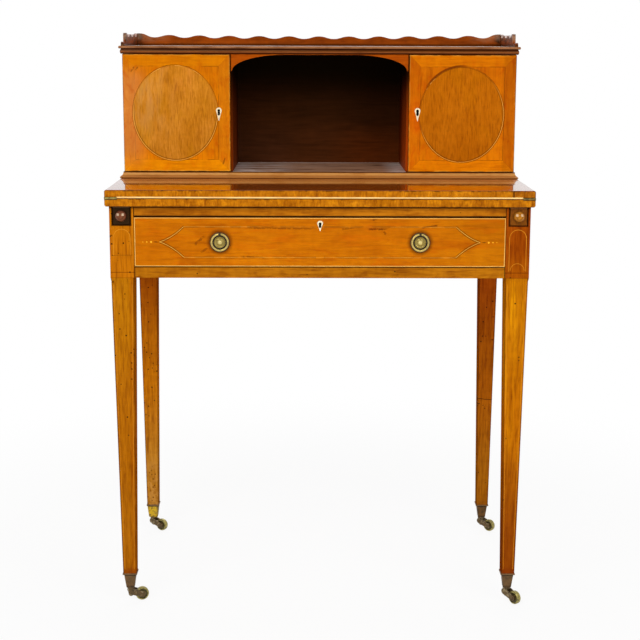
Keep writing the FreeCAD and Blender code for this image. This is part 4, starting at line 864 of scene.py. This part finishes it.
def steelLook(name, plate=None):  # the plate in front of a lock gives the place of its keyhole
    look = Look(name, {"Specular IOR Level": 0.5})
    brush = look.noise((40, 900, 900), detail=2.0, rough=0.5)
    rust = look.patch(120, 0.5, 0.7, rough=0.5)
    look.colour = look.mix(rust * 0.6, metals["steel"], metals["rust"])
    metal = 0.9 - rust * 0.5
    if plate:
        # painted shade in the keyhole: dark and not metallic there
        holeShade(look, plate)
        metal = metal * (1 - inKeyhole(look, plate))
    look.set("Metallic", metal)
    return look.finish(brush, 0.2, 0.34, 0.03)


def boneLook():
    look = Look("boneInlay", {"Specular IOR Level": 0.3})
    vein = look.patch((300, 300, 60), 0.48, 0.7, rough=0.5)
    look.colour = look.mix(vein * 0.35, bone["ground"], bone["vein"])
    look.wash(look.patch(90, 0.5, 0.7, detail=2.0, rough=0.5) * 0.3, bone["stain"])
    look.lay(abs(look.faceY) < 0.5, bone["hole"])  # painted shade on the walls of the hole and on the plate's edges
    return look.finish(vein, 0.1, 0.35, 0.03)


def inlayLook(name, ground, worn, spread):  # thin line of pale or dark wood, rubbed away in places
    look = Look(name, {"Specular IOR Level": 0.0})
    look.colour = look.mix(look.patch(spread, 0.36, 0.62) * worn, ground, inlays["rubbed"])
    fine = look.noise(500, detail=2.0, rough=0.5)
    look.wash(fine * 0.3, inlays["fineTint"])
    return look.finish(fine, 0.1, 0.32, 0.02)


def dressWoods():
    for side in ("left", "right"):
        dress("door_" + side, doorLook(side))
        dress("loper_" + side, bearerLook(side))
        dress("loper_knob_" + side, knobLook(side))
    dress("drawer_front", drawerLook())
    for index, name in enumerate(legs):
        dress(name, legLook(name, index * 4.3))
    for index, name in enumerate(("writing_flap", "table_bed", "rear_leaf")):
        dress(name, leafLook(name, index * 2.7))
    for name in rails:
        dress(name, railLook(name))
    for name in mouldings:
        dress(name, mouldingLook(name))
    for name, axis, shift in (("gallery_back", "x", 0.0), ("gallery_sides", "y", 2.0)):
        dress(name, galleryLook(name, axis, shift))
    for name, axis, shift in (("case_back", "x", 0.0), ("case_base", "x", 3.0), ("case_dividers", "z", 5.0)):
        dress(name, nicheLook(name, axis, shift))
    dress("case_sides", caseSideLook())
    dressBoards(satinwood, "x", ["niche_arch"], (170, 74, 4))
    dressBoards(satinwood, "x", ["back_rail"], (176, 98, 12))
    dressBoards(satinwood, "y", ["side_rails"], (196, 108, 6))
    dressBoards(mahogany, "x", ["case_top"], (118, 60, 22), mouldingPolish, 0.26, 0.5)
    plainOak = (176, 134, 82)
    dressBoards(oakwood, "y", ["drawer_runners", "drawer_guides", "drawer_sides"], plainOak, plain, 0.5)
    dressBoards(oakwood, "x", ["drawer_back", "drawer_bottom"], plainOak, plain, 0.5)
    print("woods set")


def dressMetal():
    dress("pull_plates", pullLook("pullPlateBrass"))
    for side in ("left", "right"):
        dress("pull_ring_" + side, pullLook("pullRing" + side.title() + "Brass"))
    for name in ("flap_hinge_bed_leaves", "flap_hinge_leaves"):
        dress(name, hingeLook("flapHingeBrass"))
    hinge = hingeLook("hingeBrass")
    for name in ("door_pivot_sockets", "door_pivots_left", "door_pivots_right"):
        dress(name, hinge)
    dress("caster_cups", cupLook())
    fork = forkLook()
    for corner in ("front_left", "front_right", "rear_left", "rear_right"):
        dress("caster_fork_" + corner, fork)
        dress("caster_wheel_" + corner, wheelLook(corner))
    steel = steelLook("filedSteel")
    for name in ("flap_hinge_pins", "drawer_lock_bolt", "door_lock_bolt_left", "door_lock_bolt_right"):
        dress(name, steel)
    inlaidBone = boneLook()
    for lock, plate in (("drawer_lock", "drawer_escutcheon"), ("door_lock_left", "door_escutcheon_left"),
                        ("door_lock_right", "door_escutcheon_right")):
        dress(lock, steelLook(lock + "Steel", plate))
        dress(plate, inlaidBone)
    print("metal and bone set")


def clearDesk():  # nothing selected before a new piece
    bpy.ops.object.select_all(action="DESELECT")


def pick(*pieces):  # only these selected, the first one active
    clearDesk()
    for piece in pieces:
        piece.select_set(True)
    bpy.context.view_layer.objects.active = pieces[0]


def applyPlace():
    bpy.ops.object.transform_apply(location=True, rotation=True, scale=True)


def settle(piece, name, material, body):
    applyPlace()
    piece.name = name
    piece.data.name = name
    piece.data.materials.clear()
    piece.data.materials.append(material)
    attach(piece, body)


def layThread(name, lines, width, proud, material, body):  # each line is a run of points on the face
    radius = (width * width / 4 + proud * proud) / (2 * proud)  # shows this wide and stands this proud
    curve = bpy.data.curves.new(name, "CURVE")
    curve.dimensions = "3D"
    curve.bevel_depth = radius
    curve.bevel_resolution = 3
    curve.use_fill_caps = True
    for points in lines:
        spline = curve.splines.new("POLY")
        spline.points.add(len(points) - 1)
        for spot, (x, y, z) in zip(spline.points, points):
            spot.co = (x, y + radius - proud, z, 1)
    thread = bpy.data.objects.new(name, curve)
    bpy.context.collection.objects.link(thread)
    pick(thread)
    bpy.ops.object.convert(target="MESH")
    piece = bpy.context.object
    bpy.ops.object.mode_set(mode="EDIT")
    bpy.ops.mesh.select_all(action="SELECT")
    bpy.ops.mesh.remove_doubles(threshold=0.01 * mm)
    bpy.ops.mesh.normals_make_consistent(inside=False)
    bpy.ops.object.mode_set(mode="OBJECT")
    bpy.ops.object.shade_smooth_by_angle(angle=0.7)
    settle(piece, name, material, body)


def selectFaces(piece, toward):  # faces that look one way, picked in edit mode
    bpy.ops.object.mode_set(mode="EDIT")
    bpy.ops.mesh.select_mode(type="FACE")
    bpy.ops.mesh.select_all(action="DESELECT")
    bpy.ops.object.mode_set(mode="OBJECT")
    for face in piece.data.polygons:
        face.select = face.normal.dot(Vector(toward)) > 0.9
    bpy.ops.object.mode_set(mode="EDIT")


def layDisc(centre, halfWide, halfTall, face, proud, corners):  # thin veneer let into a front, with a low rim
    depth = 0.6 * mm + proud
    clearDesk()
    bpy.ops.mesh.primitive_cylinder_add(vertices=corners, radius=1.0, depth=depth,
                                        location=(centre[0], face - proud + depth / 2, centre[1]),
                                        rotation=(math.pi / 2, 0, 0))
    piece = bpy.context.object
    piece.scale = (halfWide, halfTall, 1.0)
    applyPlace()
    selectFaces(piece, (0, -1, 0))
    rim = min(halfWide, halfTall) * 0.06
    bpy.ops.transform.translate(value=(0, proud * 0.5, 0))
    bpy.ops.mesh.inset(thickness=rim, use_even_offset=True)
    bpy.ops.transform.translate(value=(0, -proud * 0.5, 0))
    bpy.ops.object.mode_set(mode="OBJECT")
    return piece


def joinPieces(pieces):
    pick(*pieces)
    bpy.ops.object.join()
    return bpy.context.object


def curvedRun(centre, halfWide, halfTall, start, end, count, face):  # points along an ellipse on a front
    points = []
    for step in range(count + 1):
        angle = start + (end - start) * step / count
        points.append((centre[0] + halfWide * math.cos(angle), face, centre[1] + halfTall * math.sin(angle)))
    return points


# Lines let into the wood: ground colour, how far they are rubbed away, and how fine the rubbing is
inlays = {"boxwoodLine": ((240, 184, 92), 0.25, 40), "ebonyAndShadowLine": ((62, 28, 6), 0.35, 40),
          "tipBoxwood": ((238, 182, 74), 0.3, 60), "longBoxwood": ((228, 160, 56), 0.45, (30, 30, 90)),
          "wornBoxwood": ((206, 132, 36), 0.9, (30, 30, 90)), "dotBoxwood": ((252, 184, 40), 0.3, 90),
          "flapBoxwood": ((254, 218, 142), 0.25, 30), "legBoxwood": ((212, 138, 34), 0.5, (60, 60, 14)),
          "panelBoxwood": ((218, 142, 36), 0.45, (60, 60, 40)),
          "rubbed": (190, 108, 14), "fineTint": (0.8, 0.7, 0.6)}


def cutKeyhole(piece, plate):  # opens a veneer where the key goes through it
    low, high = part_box(plate)
    clearDesk()
    bpy.ops.mesh.primitive_cylinder_add(vertices=32, radius=1.0, depth=8 * mm, rotation=(math.pi / 2, 0, 0),
                                        location=(middle(plate)[0], low[1], high[2] - doors["keyDrop"]))
    cutter = bpy.context.object
    cutter.scale = (*doors["keyCut"], 1.0)
    pick(piece)
    trim = piece.modifiers.new("keyhole", "BOOLEAN")
    trim.object = cutter
    bpy.ops.object.modifier_apply(modifier="keyhole")
    bpy.data.objects.remove(cutter)


def layDoorOvals(ebonyAndShadow):
    wide, tall = doors["ovalWide"], doors["ovalTall"]
    above, below = doors["lineUnder"]
    for side in ("left", "right"):
        name = side.title()
        body = "cupboard_door_" + side
        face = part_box("door_" + side)[0][1]
        plate = "door_escutcheon_" + side
        plateLow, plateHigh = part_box(plate)
        centre = (doors[side]["ovalX"], doors[side]["ovalZ"])
        oval = layDisc(centre, wide, tall, face, 0.06 * mm, 128)
        cutKeyhole(oval, plate)
        settle(oval, "doorOval" + name, ovalLook(side), body)
        start = math.asin((plateHigh[2] - above - centre[1]) / tall)  # the lines stop under the plate
        end = 2 * math.pi + math.asin((plateLow[2] + below - centre[1]) / tall)
        rings = []
        for apart in (-doors["lineApart"], doors["lineApart"]):
            rings.append(curvedRun(centre, doors[side]["toKey"] * (wide + apart), tall + apart, start, end,
                                   doors["ringArc"], face))
        layThread("doorOvalLine" + name, rings[:1], doors["lineWide"], 0.14 * mm, ovalLineLook(side), body)
        # dark thread outside the oval line, standing in as painted shadow
        layThread("doorOvalShadow" + name, rings[1:], doors["lineWide"], 0.1 * mm, ebonyAndShadow, body)
    print("door ovals laid")


def layDrawerRim(boxwood):  # line round the drawer's edge
    low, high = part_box("drawer_front")
    clearDesk()
    bpy.ops.mesh.primitive_plane_add(size=1, location=(0, low[1], stringing["middle"]),
                                     rotation=(math.pi / 2, 0, 0))
    rim = bpy.context.object
    ease = 0.3 * mm
    rim.scale = (high[0] - low[0] - 2 * ease, high[2] - low[2] - 2 * ease, 1)
    applyPlace()
    bpy.ops.object.mode_set(mode="EDIT")
    bpy.ops.mesh.select_mode(type="FACE")
    bpy.ops.mesh.select_all(action="SELECT")
    bpy.ops.mesh.inset(thickness=stringing["edge"])
    bpy.ops.mesh.delete(type="FACE")
    bpy.ops.mesh.select_all(action="SELECT")
    bpy.ops.mesh.extrude_region_move(TRANSFORM_OT_translate={"value": (0, 1.2 * mm, 0)})
    bpy.ops.mesh.select_all(action="SELECT")
    bpy.ops.transform.translate(value=(0, -0.15 * mm, 0))
    bpy.ops.mesh.normals_make_consistent(inside=False)
    bpy.ops.object.mode_set(mode="OBJECT")
    bevel = rim.modifiers.new("ease", "BEVEL")
    bevel.width = 0.1 * mm
    bpy.ops.object.modifier_apply(modifier="ease")
    settle(rim, "drawerEdgeLine", boxwood, "drawer")


def layDrawerInlay(boxwood, ebonyAndShadow):
    layDrawerRim(boxwood)
    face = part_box("drawer_front")[0][1]
    tip, corner, worn, centre = (stringing[key] for key in ("tip", "corner", "worn", "middle"))
    top, foot = centre + stringing["half"], centre - stringing["half"]
    points, longs, rubbed = [], [], []
    for sign in (-1, 1):
        for half in (-stringing["half"], stringing["half"]):
            shares = [step / stringing["steps"] for step in range(stringing["steps"] + 1)]
            points.append([(sign * (tip + (corner - tip) * share), face, centre + half * hollowRun(share))
                           for share in shares])
        rubbed.append([(sign * stringing["keyGap"], face, top), (sign * worn, face, top)])
        longs.append([(sign * worn, face, top), (sign * corner, face, top)])
    longs.append([(-corner, face, foot), (corner, face, foot)])
    threads = [("drawerPointLines", points, 1.1, 0.14, "tipBoxwood"),
               ("drawerLongLines", longs, 1.0, 0.13, "longBoxwood"),
               ("drawerWornLines", rubbed, 0.9, 0.12, "wornBoxwood")]
    for name, lines, width, proud, wood in threads:
        layThread(name, lines, width * mm, proud * mm, inlayLook(wood, *inlays[wood]), "drawer")
    dots = [layDisc((sign * place, centre), size, size, face, 0.15 * mm, 20)
            for sign in (-1, 1) for place, size in stringing["dots"]]
    dotLook = inlayLook("dotBoxwood", *inlays["dotBoxwood"])
    settle(joinPieces(dots), "drawerDots", dotLook, "drawer")
    spears = [layDisc((sign * stringing["spear"], centre), *stringing["spearHalf"], face, 0.12 * mm, 4)
              for sign in (-1, 1)]
    settle(joinPieces(spears), "drawerSpears", ebonyAndShadow, "drawer")
    print("drawer inlay laid")


flapLine = {"half": 358 * mm, "tall": 2.6 * mm, "deep": 2.0 * mm, "proud": 0.15 * mm, "lift": 0.1 * mm,
            "ease": 0.35 * mm}


def layFlapLine():
    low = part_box("writing_flap")[0]
    y = low[1] - flapLine["proud"] + flapLine["deep"] / 2
    z = low[2] + flapLine["lift"] + flapLine["tall"] / 2
    clearDesk()
    bpy.ops.mesh.primitive_cube_add(size=1, location=(0, y, z))
    line = bpy.context.object
    line.scale = (2 * flapLine["half"], flapLine["deep"], flapLine["tall"])
    applyPlace()
    bpy.ops.object.mode_set(mode="EDIT")
    bpy.ops.mesh.select_all(action="SELECT")
    bpy.ops.mesh.bevel(offset=flapLine["ease"], segments=2)
    bpy.ops.object.mode_set(mode="OBJECT")
    settle(line, "flapEdgeLine", inlayLook("flapBoxwood", *inlays["flapBoxwood"]), "flap")
    print("flap line laid")


# Front legs: an arched panel on each block, and a line down both sides of the taper
legPanels = {"half": 15 * mm, "spring": 688 * mm, "rise": 15.5 * mm, "leftFoot": 657 * mm,
             "rightFoot": 629 * mm, "smallHalf": 12.5 * mm, "smallSpring": 630 * mm, "smallRise": 13 * mm,
             "lineInset": 3.6 * mm, "lineEnds": (604 * mm, 66 * mm), "jointHalf": 19 * mm,
             "jointEnds": (656.4 * mm, 657.2 * mm)}


def layLegLines(ebonyAndShadow):
    faint = inlayLook("legBoxwood", *inlays["legBoxwood"])
    arch = inlayLook("panelBoxwood", *inlays["panelBoxwood"])
    for side in ("left", "right"):
        leg = "leg_front_" + side
        low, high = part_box(leg)
        axisX, face = middle(leg)[0], low[1]
        axisY = face + (high[0] - low[0]) / 2
        half, foot = legPanels["half"], legPanels[side + "Foot"]
        head = curvedRun((axisX, legPanels["spring"]), half, legPanels["rise"], 0, math.pi, 16, face)
        lines = [[(axisX + half, face, foot)] + head + [(axisX - half, face, foot)]]
        if side == "right":
            lines.append(curvedRun((axisX, legPanels["smallSpring"]), legPanels["smallHalf"],
                                   legPanels["smallRise"], 0, math.pi, 14, face))
        layThread("legPanelLine" + side.title(), lines, 1.1 * mm, 0.12 * mm, arch, "carcass")
        if side == "left":
            cut = [(axisX + sign * legPanels["jointHalf"], face, z)
                   for sign, z in zip((-1, 1), legPanels["jointEnds"])]
            layThread("legPatchJoint", [cut], 1.4 * mm, 0.08 * mm, ebonyAndShadow, "carcass")
        runs = []
        for edge in (-1, 1):
            points = []
            for z in legPanels["lineEnds"]:
                reach = legHalf(z, leg)
                points.append((axisX + edge * (reach - legPanels["lineInset"]), axisY - reach, z))
            runs.append(points)
        layThread("legTaperLines" + side.title(), runs, 1.2 * mm, 0.12 * mm, faint, "carcass")
    print("leg lines laid")


setCamera()
setStage()
dressWoods()
dressMetal()
boxwoodLine = inlayLook("boxwoodLine", *inlays["boxwoodLine"])
ebonyAndShadowLine = inlayLook("ebonyAndShadowLine", *inlays["ebonyAndShadowLine"])
layDoorOvals(ebonyAndShadowLine)
layDrawerInlay(boxwoodLine, ebonyAndShadowLine)
layFlapLine()
layLegLines(ebonyAndShadowLine)
